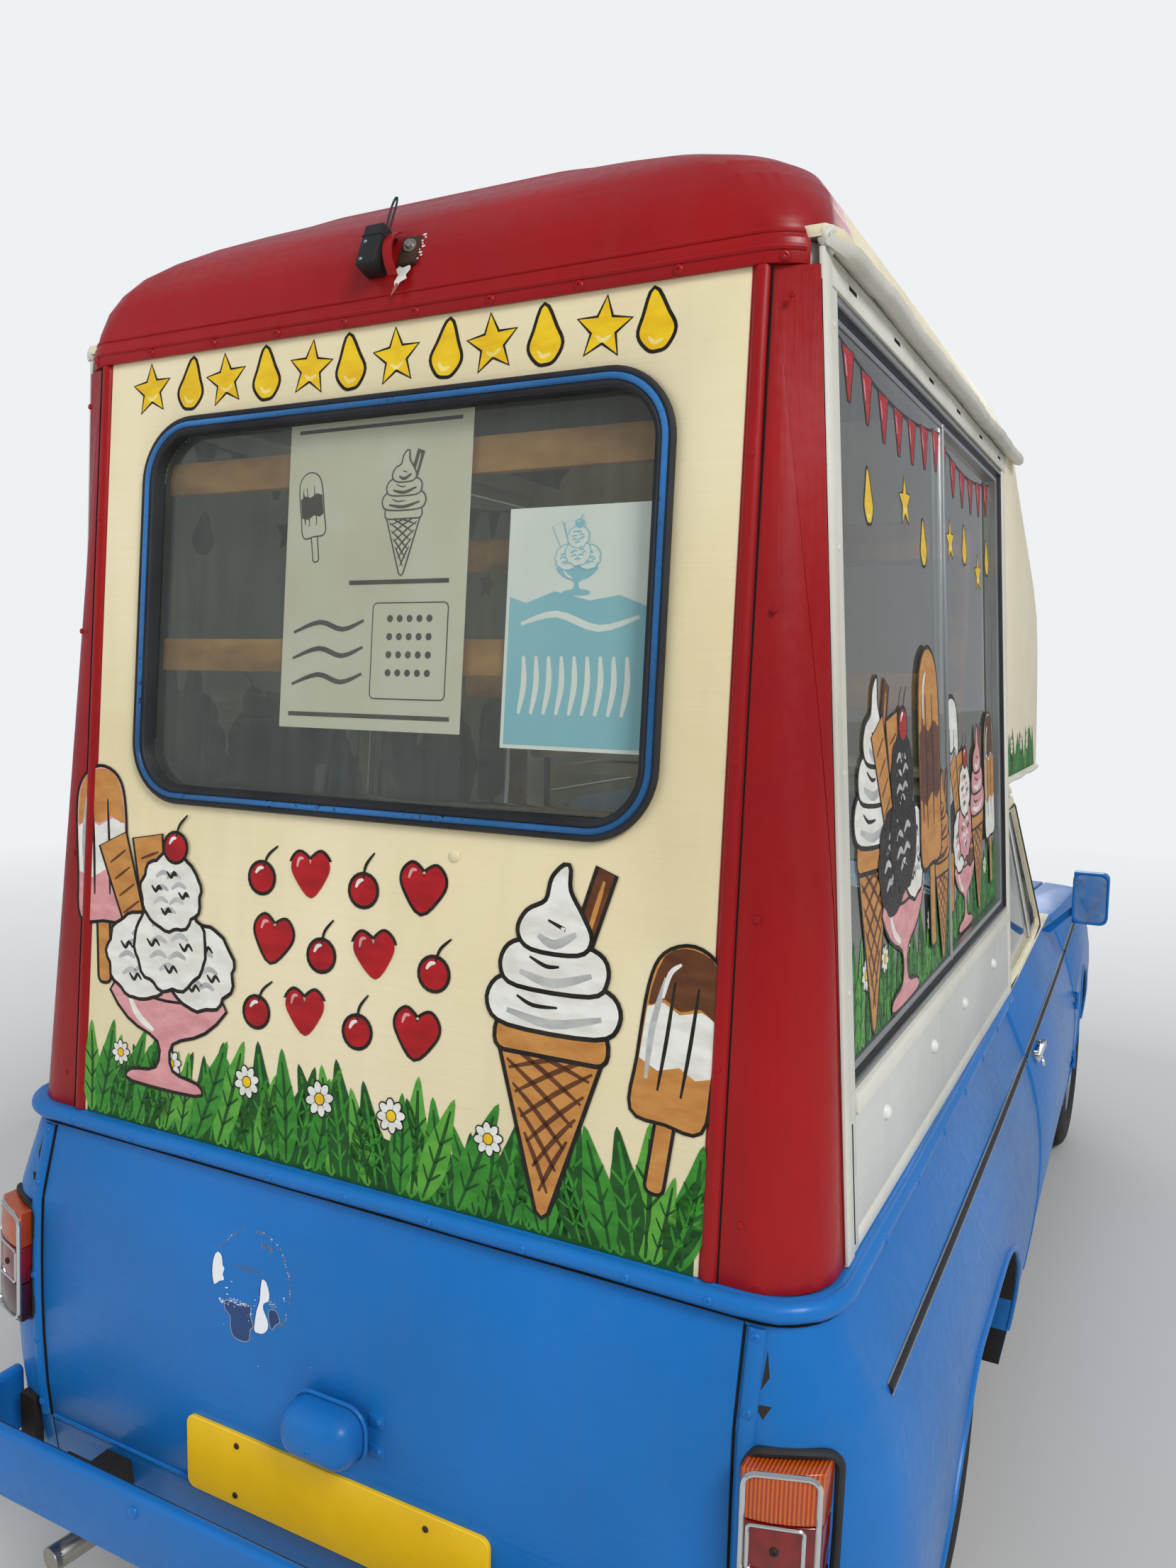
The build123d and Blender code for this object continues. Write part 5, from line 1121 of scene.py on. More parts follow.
class VAN_OT_rear_trim(bpy.types.Operator):
    """Pillar beads, the lip of the dome with its screws, the torn lamp bracket and a plugged hole"""

    bl_idname = "van.rear_trim"
    bl_label = "Rear trim"

    def execute(self, context):
        beads, grooves, screws, facets = [], [], [], []
        bead = 524.5
        for side in (-1, 1):
            # Each bead, and beside it a thin dark cord that is painted shade for the groove at the bead's edge
            for x, out, radius, sides, bars in ((bead, -5.5, 11.0, 4, beads), (536.5, -0.6, 1.4, 2, grooves)):
                line = [rear_wall(side * x, z, out) for z in spaced(924, 2066, 24)]
                bars.append(tube(line, radius, sides=sides))
            for k, z in enumerate(spaced(985, 2020, 6)):
                x, out = (bead, 5.2) if k % 2 else (560, 0.4)
                screws.append((rear_wall(side * x, z + 11 * side, out), facing(0, -1, 0.07)))
            # Facet from the post beside the side window to the corner's curve, which it meets as a tangent. The
            # curve's radius shrinks with height
            rings, post = [], -1679.5
            for z in spaced(905, 2066, 20):
                radius = 85 - 15 * (z - 923) / 1147
                run = max(REAR_FOOT + REAR_LEAN * (z - WAIST) + radius - post, 2.0)
                total = run * run + radius * radius
                back, deep = post - run * (radius * radius - run * run) / total, 2 * run * run * radius / total
                rings.append([side_wall(side)(y, z, out) for y, out in (
                    (post, 0.6), (back, 0.6 - deep), (back + 3, -3 - deep), (-1674, -8 - 0.6 * deep))])
            facets.append(lofted(rings))
        settled(facets, "pillar_facets", "red_upright")
        settled(beads, "pillar_beads", "red_upright")
        settled(grooves, "pillar_bead_grooves", "shadow_gap")
        studs("pillar_screws", screws, 4.6, 1.5, "red_upright", DOME_HEAD)

        for name, height, sunk, radius in (("lip", 2084, -2.5, 5.0), ("ledge", 2103, -1.5, 3.4)):
            line = girdle("rear_dome", height, rear_rays(0, (516.0, -1632.0), 1, 44), sunk)
            settled(tube(whole(line), radius, sides=3), f"dome_{name}_bead", "red")
        spots = [land("rear_dome", at(x, ASTERN, 2074), FORE)
                 for x in (-545, -425, -300, -180, -62, 55, 170, 296, 425, 550)]
        studs("dome_lip_screws", spots, 7.0, 3.0, "red")

        place = onto(["upper_rear_panel"], "rear")
        normal = facing(0, -1, -0.07)
        studs("plugged_hole", [(place(152, 1376, 0.4), normal)], 8.5, 3.2, "cream", DOME_HEAD)

        # What is left of a lamp: a small block and a bolted plate, the painted strap between them, a loop of
        # stiff wire, and the paint that tore away under the plate
        point, normal = land("rear_dome", at(13, ASTERN, 2155), FORE)
        turn = stood(point, normal)

        def local(u, v, out=0.0):
            return turn @ at(u, v, out)

        block = slab(local, (-39, -8), (-30, 32), (-4, 26), 2.5)
        lid = slab(local, (-39.6, -7.4), (14, 16), (-2, 26.6), 0.4)
        settled([block, lid], "lamp_block", "black_plastic")
        settled(slab(local, (11, 39), (-20, 21), (-4, 4), 1.2), "lamp_plate", "iron")
        studs("lamp_block_screws", [(local(-31, 5, 26), normal), (local(-31, -22, 26), normal)], 2.8, 1.4,
              "aluminium", DOME_HEAD)
        bolt = lathe([(0, 7), (5, 7), (5.6, 6), (5.6, 2), (9.5, 2), (10, 1), (10, -2), (0, -2)],
                     local(26, 6, 4), normal, 18)
        settled(bolt, "lamp_plate_bolt", "steel")
        strap = []
        for t in spaced(0.0, 1.0, 14):
            rise = 3 + 15 * math.sin(math.pi * t) ** 0.7
            u, v = -7 + 12 * t * t, 30 - 68 * t
            strap.append([local(u + x, v, rise + out) for x, out in ((0, 0), (14, 0), (14, 3), (0, 3))])
        settled(lofted(strap), "lamp_strap", "red")
        loop = [local(*spot) for spot in ((-15, 20, 10), (-17, 50, 12), (-15, 76, 13), (-11, 84, 13), (-8, 74, 13),
                                          (-9, 48, 12), (-11, 20, 10))]
        settled(tube(loop, 1.5, smooth=True, sides=3), "lamp_wire", "rubber")
        torn = [(13, -20), (20, -24), (30, -21), (33, -28), (28, -36), (31, -42), (22, -46), (17, -56), (12, -44),
                (15, -36), (9, -30)]
        bare = [(15, -47), (20, -50), (17, -60), (12, -66)]
        flakes = [("primer", 0, curved(torn, 2)), ("brick", 1, curved(bare, 2))]
        flakes += [("primer", 0, oval(42 + 3 * math.sin(2.1 * k), 24 - 4.6 * k, 2.4 + math.cos(3 * k), 1.8, 6))
                   for k in range(9)]
        painted("torn_paint", flakes, lambda u, v, out: local(u, v, out - 0.2))
        return {"FINISHED"}


class VAN_OT_side_trim(bpy.types.Operator):
    """Gutter, header, frames, channels, lower panels and plugs of both upper sides"""

    bl_idname = "van.side_trim"
    bl_label = "Upper side trim"

    def execute(self, context):
        chance = random.Random(3)
        bars, slots, rivets, panels, plugs, channels, rubbers, gutters, lumps = ([] for _ in range(9))
        profile = ((-4, 16), (5, 15), (10, 9), (13, 2), (17, 0), (20, 7), (24, 6), (22, -5), (15, -10), (6, -8),
                   (-4, -3))
        # Ends of the side's posts, of the opening between them, and heights of foot, opening's head and header
        tail, nose, aft, fore, foot, head, top = -1679, -313, -1623, -348, 924, 2052, 2086
        for side in (-1, 1):
            place = side_wall(side)
            # Gutter: folded strip with a rolled edge, dented along its length
            rings = []
            for k, y in enumerate(spaced(tail, -214, 70)):
                dent = chance.uniform(-1.1, 1.1) + 1.2 * math.sin(y * 0.021)
                lift = 1.6 * math.sin(y * 0.013 + side)
                taper = min(1.0, 0.25 + k / 4)
                rings.append([place(y, 2094 + z * (0.8 + 0.2 * taper) + lift, 6 + (x + dent) * taper)
                              for x, z in profile])
            gutters.append(lofted(rings))
            for y in spaced(-1600, -300, 12):
                rivets.append((place(y + chance.uniform(-12, 12), 2113, 5), facing(side, 0, 0.3)))
            # Sealer pressed into the corner where the gutter starts
            for k in range(5):
                bpy.ops.mesh.primitive_ico_sphere_add(subdivisions=3, radius=1)
                lump = bpy.context.object
                size = (chance.uniform(8, 12), chance.uniform(9, 13), chance.uniform(8, 13))
                spot = place(-1672 + 9 * k, 2098 + 6 * math.sin(2.3 * k), 2 + 2.5 * math.cos(k))
                for vertex in lump.data.vertices:
                    c = vertex.co
                    bulge = 1 + 0.12 * math.sin(5 * c.x + k) * math.cos(4 * c.z + side)
                    vertex.co = spot + Vector((c.x * size[0], c.y * size[1], c.z * size[2])) * bulge * MM
                lumps.append(lump)
            # Header over the glass, posts at both ends, ledge under it and the strips round the lower panel
            for y, z, out, soft in (
                ((tail + 1, nose - 1), (head, top), 4.5, 1.5), ((tail, aft), (foot, head), 3.0, 1.5),
                ((fore, nose), (foot, head), 3.0, 1.5), ((aft, fore), (1090, 1114), 8.0, 3.0),
                ((aft, fore), (foot, foot + 22), 2.4, 1.0), ((tail, tail + 29), (foot, top), 5.6, 2.5),
            ):
                bars.append(slab(place, y, z, (-2, out), soft))
            # The lower sheet's greyer enamel is painted shade
            panels.append(slab(place, (aft + 1, fore - 1), (foot + 23, 1089), (-2, 1.2), 0.5))
            # Dark strips on the header, and one beside the rear post: painted shade for the slots and the gap
            for y in spaced(-1560, -400, 5):
                slots.append(slab(place, (y - 17, y + 17), (2067, 2072), (3.5, 4.8)))
            slots.append(slab(place, (-1650, -1648.5), (940, 1086), (2.0, 5.9)))
            normal = facing(side, 0, 0.06)
            for y in (-1469, -1156, -884, -560):
                plugs.append((place(y, 1040, 1.0), normal))
            for z in (1010, 1240, 1500, 1760, 2010):
                rivets += [(place(y, z, 2.6), normal) for y in (-1640, -330)]
            for y in spaced(-1590, -380, 6):
                rivets.append((place(y, 2078, 4.2), normal))
            # Sliding channels: outer and inner track at sill and head, and the meeting bar of the panes
            for z in (1120, 2044):
                channels.append(slab(place, (-1620, -351), (z - 3, z + 3), (-8, 1.5), 0.8))
            channels.append(slab(place, (-956, -946), (1126, 2040), (-15, -5), 1.5))
            for y in (-1617, -354):
                rubbers.append(slab(place, (y - 4, y + 4), (1117, 2049), (-10, 0.5), 1.5))
            for z in (1128, 2036):
                rubbers.append(slab(place, (-1612, -359), (z - 4, z + 4), (-13, -4.5), 1.5))
            rubbers.append(slab(place, (-945, -938), (1128, 2038), (-12, -7), 1.0))
        settled(gutters, "gutters", "white", angle=50)
        settled(lumps, "gutter_sealer", "white", angle=60)
        settled(bars, "side_frames", "white")
        settled(slots, "header_slots", "shadow_gap")
        studs("side_rivets", rivets, 4.2, 1.8, "white", DOME_HEAD)
        settled(panels, "lower_side_sheets", "panel_grey_painted_shade")
        studs("side_plugs", plugs, 11.0, 8.0, "plug_white", DOME_HEAD, steps=24)
        settled(channels, "window_channels", "aluminium")
        settled(rubbers, "window_channel_rubbers", "rubber")
        return {"FINISHED"}


class VAN_OT_waist_trim(bpy.types.Operator):
    """Waist bead with its screws and shadow gap, crease trim, seam strips, arch lips and shut-line flanges"""

    bl_idname = "van.waist_trim"
    bl_label = "Waist and lower trim"

    def execute(self, context):
        chance = random.Random(11)
        bead = 911
        half = girdle("waist_moulding", bead, rear_rays(-316), -3.5)
        line = [p + Vector((0, 0, 0.6 * MM * math.sin(i * 1.9))) for i, p in enumerate(whole(half))]
        settled(tube(line, 12.5, sides=4), "waist_bead", "blue")
        lower = ["side_panel_right", "side_panel_left", "rear_panel"]
        half = girdle(lower, 893.5, rear_rays(-336), 1.2)
        settled(tube(whole(half), 2.4), "waist_shadow_gap", "shadow_gap")
        spots = []
        for x in (-520, -390, -262, -118, 14, 150, 289, 430, 533):
            point, _ = land("waist_moulding", at(x, ASTERN, bead), FORE)
            spots.append((point + at(0, -8.6, chance.uniform(-2, 2)), facing(0, -1, 0.1)))
        for side in (-1, 1):
            for y in spaced(-1560, -380, 6):
                point, _ = land("waist_moulding", at(side * ABEAM, y, bead), Vector((-side, 0, 0)))
                spots.append((point + at(side * 8.6, 0, 0), facing(side, 0, 0.1)))
        studs("waist_screws", spots, 6.0, 2.2, "blue")

        # Crease trim: dark half-round strip between two bright edges, from behind the rear corner to the nose
        for name, nodes, body, start, end in (
            ("body_right", "side_panel_right", "body", -1664, -330),
            ("door_right", "door_right", "door_right", -312, 774),
            ("wing_right", "front_wing_right", "body", 796, 1660),
        ):
            line, upper, lower = ([land(nodes, at(ABEAM, y, z), Vector((-1, 0, 0)))[0] + at(back, 0, 0)
                                   for y in spaced(start, end, 24)]
                                  for z, back in ((781, -1.6), (788, 0.2), (774, 0.2)))
            for twin, flip, rides in ((name, list, body),
                                      (name.replace("right", "left"), mirrored, body.replace("right", "left"))):
                settled(tube(flip(line), 6.4, sides=4), f"crease_trim_{twin}", "rubber", rides)
                settled([tube(flip(edge), 1.5) for edge in (upper, lower)], f"crease_edges_{twin}",
                        "aluminium", rides)

        strips, gaps, screws = [], [], []
        seam, gap, heights = 587, 573.5, spaced(418, 888, 30)
        for side, word in SIDES[::-1]:
            place = onto([f"side_panel_{word}"], "rear")
            strips.append(tube([place(side * seam, z, -5.5) for z in heights], 12.0, sides=4))
            # A thin dark cord beside each seam strip: painted shade for the gap
            gaps.append(tube([place(side * gap, z, 0.3) for z in heights], 1.5))
            for z in (440, 548, 655, 800, 878):
                screws.append((place(side * seam, z, 5.6), facing(0, -1, 0.05)))
        settled(strips, "seam_strips", "blue")
        settled(gaps, "seam_gaps", "shadow_gap")
        studs("seam_screws", screws, 6.5, 2.2, "blue")
        fold = onto(["rear_panel"], "rear")
        settled(tube([fold(x, 419, 0.2) for x in spaced(-568, 568, 16)], 3.2), "valance_fold", "blue")

        # Lips of the wheel arches and of the shut line behind the door. The rear arch is two quarters with a
        # straight piece between them
        lips, halves = [], {"front": 0, "rear": 125}
        for side, word in SIDES:
            for end, node, radius, first, last in (("rear", "side_panel", 305, 4, 176),
                                                   ("front", "front_wing", 335, 6, 168)):
                place, middle = onto([f"{node}_{word}"], word), AXLES[end][0]
                arch = []
                for turn in spaced(first, last, 34):
                    c, s = math.cos(math.radians(turn)), math.sin(math.radians(turn))
                    apart = halves[end] * (-1 if turn < 90 else 1)
                    arch.append(place(side * (middle + apart - radius * c), HUB_HEIGHT + radius * s, -1.0))
                lips.append(tube(arch, 6.0, sides=3))
            place = onto([f"side_panel_{word}"], word)
            lips.append(tube([place(side * -330, z, -0.5) for z in spaced(305, 888, 24)], 3.0))
        settled(lips, "arch_lips", "blue")
        for side, word in SIDES:
            place = onto([f"door_{word}"], word)
            edges = [tube([place(side * y, z, -0.5) for z in spaced(306, 886, 24)], 2.6) for y in (-314, 777)]
            settled(edges, f"door_{word}_flanges", "blue", f"door_{word}")

        # What an old transfer left on the tail: a broken ring of glue, two rags of paper with a painted shadow under
        # each, and bare older paint
        place = onto(["rear_panel"], "rear")
        shapes = []
        for k in range(64):
            angle = math.radians(-42 + 204 * k / 63)
            if chance.random() < 0.7:
                reach = 71 + chance.uniform(-1.6, 1.6)
                shapes.append((chance.choice(("old_glue", "old_glue", "dove")), 0,
                               oval(-138 + reach * math.cos(angle), 757 + reach * math.sin(angle),
                                    chance.uniform(0.6, 2.6), chance.uniform(0.6, 1.8), 6)))
        # Columns: middle of a patch of specks, its half width and half height, how many, their material
        for x, z, wide, high, count, finish in (
            (-117, 812, 10, 5, 22, "old_glue"), (-160, 775, 22, 3, 20, "old_glue"),
            (-132, 777, 12, 3, 14, "old_glue"), (-188, 719, 10, 3, 14, "card_white"),
            (-158, 724, 22, 4, 30, "card_white"), (-142, 714, 6, 5, 8, "card_white"), (-96, 738, 9, 4, 12, "dove"),
            (-182, 737, 4, 4, 3, "card_white"), (-128, 700, 60, 60, 14, "card_white"),
        ):
            for k in range(count):
                shapes.append((finish, 1, oval(x + wide * chance.uniform(-1, 1), z + high * chance.uniform(-1, 1),
                                               chance.uniform(0.5, 2.2), chance.uniform(0.4, 1.3), 5)))
        bare = ([(-187, 719), (-176, 723), (-162, 720), (-150, 723), (-138, 725), (-139, 711), (-133, 698),
                 (-139, 691), (-140, 676), (-153, 671), (-170, 674), (-175, 690), (-176, 702), (-185, 708)],
                [(-105, 728), (-93, 731), (-88, 725), (-85, 717), (-93, 711), (-98, 703), (-103, 710)])
        for outline in bare:
            shapes += [("dove", 0, grown(curved(outline, 2), 0.9)), ("old_blue", 1, curved(outline, 2))]
        rags = ([(-204, 786), (-195, 782), (-193, 770), (-189, 766), (-192, 757), (-189, 750), (-198, 746),
                 (-208, 739), (-212, 758), (-210, 776)],
                [(-119, 768), (-111, 766), (-105, 752), (-106, 741), (-114, 736), (-115, 727), (-107, 714),
                 (-106, 702), (-114, 693), (-124, 691), (-131, 694), (-127, 722), (-122, 736), (-121, 752)])
        # Under each rag, a dark copy moved down and to the left is a painted shadow
        for outline in rags:
            shapes += [("shadow_gap", 2, shifted([("", 0, curved(outline, 2))], -1.4, -0.6)[0][2]),
                       ("card_white", 4, curved(outline, 2))]
        painted("old_transfer", shapes, place)
        return {"FINISHED"}


class VAN_OT_tail(bpy.types.Operator):
    """Frames and gaskets of the tail lamps, the number plates, their lamp, and fixings of bumpers and exhaust"""

    bl_idname = "van.tail"
    bl_label = "Tail fittings"

    def execute(self, context):
        lens = onto(["tail_lamps"], "rear")
        body = onto(["side_panel_right", "side_panel_left"], "rear")
        bezels, gaskets, frames, screws = [], [], [], []
        for side in (-1, 1):
            def loop(x, z, radius, out, base):
                return [base(side * p.x, p.y, out) for p in oblong(x, z, radius, 6)]

            bezels.append(hoop(loop((595, 673), (588, 756), 16, 0.5, lens), 3.6))
            gaskets.append(hoop(loop((588.5, 682), (580, 765), 20, 2.0, body), 6.0))
            frames.append(hoop(loop((602, 660), (648, 699), 5, 0.8, lens), 2.4, 2))
            screws.append(land("tail_lamps", at(side * 631, ASTERN, 673), FORE))
        settled(bezels, "lamp_bezels", "chrome")
        settled(gaskets, "lamp_gaskets", "rubber")
        settled(frames, "reflector_frames", "chrome")
        studs("reflector_screws", screws, 5.5, 3.0, "iron")

        plates, heads = [], []
        for look, y, z in (("rear", -1822.0, 475.5), ("front", 1812.5, 360.0)):
            out = -1 if look == "rear" else 1
            outline = oblong((-260, 260), (z - 55.5, z + 55.5), 14, 5)
            rings = [[at(p.x, y + out * depth, p.y) for p in grown(outline, grow)]
                     for depth, grow in ((0, 0), (4.6, 0), (5.8, -1.2))]
            plates.append(lofted(rings))
            for x, dz in ((-162, 38), (-166, -38), (164, 36), (160, -38)):
                heads.append((at(x, y + out * 5.4, z + dz), Vector((0, out, 0))))
        settled(plates, "blank_plates", "plate", stands_for=["number_plates"])
        studs("plate_screws", heads, 5.0, 3.0, "iron")

        # Lamp over the plate: pressed shell on a flange, with its two lugs
        shell = cuboid((-44, 74), (-1884, -1816), (572, 646))
        softened(shell, 30, 7, 30)
        settled(shell, "plate_lamp_shell", "blue", stands_for=["plate_lamp"])
        rim = [at(p.x, -1838, p.y) for p in oblong((-46, 76), (570, 648), 30, 8)]
        settled(hoop(rim, 3.0), "plate_lamp_rim", "blue")
        lugs = [cuboid((70, 96), (-1826, -1814), (z - 9, z + 9), 2.0) for z in (588, 630)]
        settled(lugs, "plate_lamp_lugs", "blue")
        studs("plate_lamp_screws", [(at(87, -1826, z), AFT) for z in (588, 630)]
              + [(at(15, -1883.5, 600), AFT)], 5.0, 2.6, "blue")

        spots = [(at(x, -1912.5, 428), AFT) for x in (-276, 276)]
        spots += [(at(x, 1912.5, 430), FORE) for x in (-325, 325)]
        studs("bumper_bolts", spots, 9.5, 4.5, "blue", DOME_HEAD, steps=20)
        irons = [slab(lambda u, v, out: at(side * u, v, out), (604, 640), (-1822, -1806), (352, 440), 2.0)
                 for side in (-1, 1)]
        settled(irons, "bumper_end_irons", "iron")
        tip = facing(-0.146, -0.989, -0.03)
        settled(lathe([(15.5, -60), (15.5, 1), (19.4, 1.5), (19.8, 0.0), (19.4, -1.5), (18, -60)],
                      at(-485, -1889, 256), tip, 28), "tailpipe_lip", "steel")
        settled(lathe([(0, -8), (15.6, -8), (15.6, -5), (0, -5)], at(-485, -1889, 256), tip, 20),
                "tailpipe_soot", "soot")
        return {"FINISHED"}


class VAN_OT_doors(bpy.types.Operator):
    """Mirrors, rubbers, quarter lights and locks of both cab doors"""

    bl_idname = "van.doors"
    bl_label = "Door fittings"

    def execute(self, context):
        for side, word in SIDES:
            door = f"door_{word}"
            outline = [at(side * p.x, 526.5, p.y) for p in oblong((712, 792), (934, 1066), 18, 6)]
            faces = [[p + at(0, depth, 0) for p in outline] for depth in (2.0, 0.0)]
            settled(lofted(faces), f"mirror_glass_{word}", "mirror", door)
            ring = [at(side * p.x, 528.0, p.y) for p in oblong((708, 796), (930, 1070), 20, 8)]
            settled(hoop(ring, 3.6), f"mirror_rim_{word}", "blue", door)
            place = onto([door], word)
            line = [place(side * p.x, p.y, -1.0) for p in rounded([(-259, 898), (603, 898), (421, 1265),
                                                                   (-259, 1265)], 20, 5)]
            settled(hoop(line, 4.6), f"door_glass_rubber_{word}", "rubber", door)
            pane = onto([f"door_glass_{word}"], word)
            bar = [pane(side * y, z, 2.5) for y, z in ((372, 904), (340, 1080), (306, 1258))]
            settled(tube(bar, 6.0, sides=3), f"quarter_light_bar_{word}", "chrome", door)
            light = [pane(side * p.x, p.y, 2.0) for p in rounded([(384, 912), (576, 912), (412, 1250), (320, 1250)],
                                                                 10, 4)]
            settled(hoop(light, 4.0), f"quarter_light_frame_{word}", "chrome", door)
            latch = slab(lambda u, v, out: pane(side * u, v, out), (392, 402), (930, 968), (-14, -6), 2.0)
            settled(latch, f"quarter_light_catch_{word}", "chrome", door)
            point, normal = land(door, at(side * ABEAM, -112, 715), Vector((-side, 0, 0)))
            settled(lathe([(0, 3.0), (3.5, 3.0), (4.2, 1.6), (10.5, 2.6), (12, 0), (12, -3), (0, -3)],
                          point, normal, 24), f"door_lock_{word}", "chrome", door)
        return {"FINISHED"}


class VAN_OT_wheels(bpy.types.Operator):
    """Treaded tyres, hub caps, nuts and valves"""

    bl_idname = "van.wheels"
    bl_label = "Wheels"

    def execute(self, context):
        axle = Vector((1, 0, 0))
        # One flank of the tyre from the bead to the tread, with the ledge of its scuff rib
        flank = [(179, 64), (192, 70), (205, 75.2), (216, 76.6), (218, 77.4), (221, 77.4), (223, 76.9), (240, 76),
                 (252, 73.4), (255, 73.6), (258, 72.4), (268, 68.4), (277, 64.2), (282.5, 58), (283, 30)]
        carcass = [(179, -64), (179, -58), (165.3, -58), (165.3, 58), (179, 58)] + flank
        for x in (27, 5):
            carcass += [(283, x + 1.5), (289, x - 1), (290, x - 2), (290, x - 18), (289, x - 19), (283, x - 21)]
        carcass += [(r, -x) for r, x in reversed(flank)]
        first = lathe(carcass, Vector(), axle, 72)
        block = cuboid((30, 55), (-10.5, 10.5), (279, 289.6), 1.6, 1)
        for vertex in block.data.vertices:
            if vertex.co.x > 0.050:
                vertex.co.z -= 3.4 * MM
            vertex.co.y += 0.22 * (vertex.co.x - 0.03)
        blocks = []
        for k in range(van().tread_blocks):
            for sign in (1, -1):
                flip = Matrix.Rotation(0.0 if sign > 0 else math.pi, 4, "Z")
                turn = math.tau * (k + 0.25 * (1 - sign)) / van().tread_blocks
                blocks.append(copied(block, Matrix.Rotation(turn, 4, "X") @ flip))
        bpy.data.objects.remove(block)
        first = joined([first] + blocks)
        cap = lathe([(0, 47), (14, 46.6), (30, 45), (42, 41), (50, 35), (53, 33.5), (58, 34.5), (61, 33), (62, 29),
                     (60, 27), (48, 27), (0, 30)], Vector(), axle, 48)
        nut = lathe([(0, 9), (6.5, 9), (8.6, 7.5), (9, 0), (0, 0)], at(29, 0, 82), axle, 6)
        nuts = joined([copied(nut, Matrix.Rotation(math.tau * k / 4 + 0.4, 4, "X")) for k in range(4)])
        bpy.data.objects.remove(nut)
        valve = lathe([(0, 26), (3, 26), (3.6, 24), (3.6, 12), (5.5, 9), (6, 0), (0, 0)], at(34, 0, 150),
                      facing(1, 0, -0.35), 14)
        for end, (y, track) in AXLES.items():
            for side, word in SIDES:
                spin = Matrix.Rotation(0.0 if side > 0 else math.pi, 4, "Z")
                place = Matrix.Translation(at(side * track, y, HUB_HEIGHT)) @ spin
                corner = f"{end}_{word}"
                settled(copied(first, place), f"treaded_tyre_{corner}", "tyre", f"wheel_{corner}", 30,
                        [f"tyre_{corner}"])
                for piece, name, key in ((cap, "hub_cap", "chrome"), (nuts, "wheel_nuts", "chrome"),
                                         (valve, "valve", "rubber")):
                    settled(copied(piece, place), f"{name}_{corner}", key, f"wheel_{corner}")
        for template in (first, cap, nuts, valve):
            bpy.data.objects.remove(template)
        return {"FINISHED"}


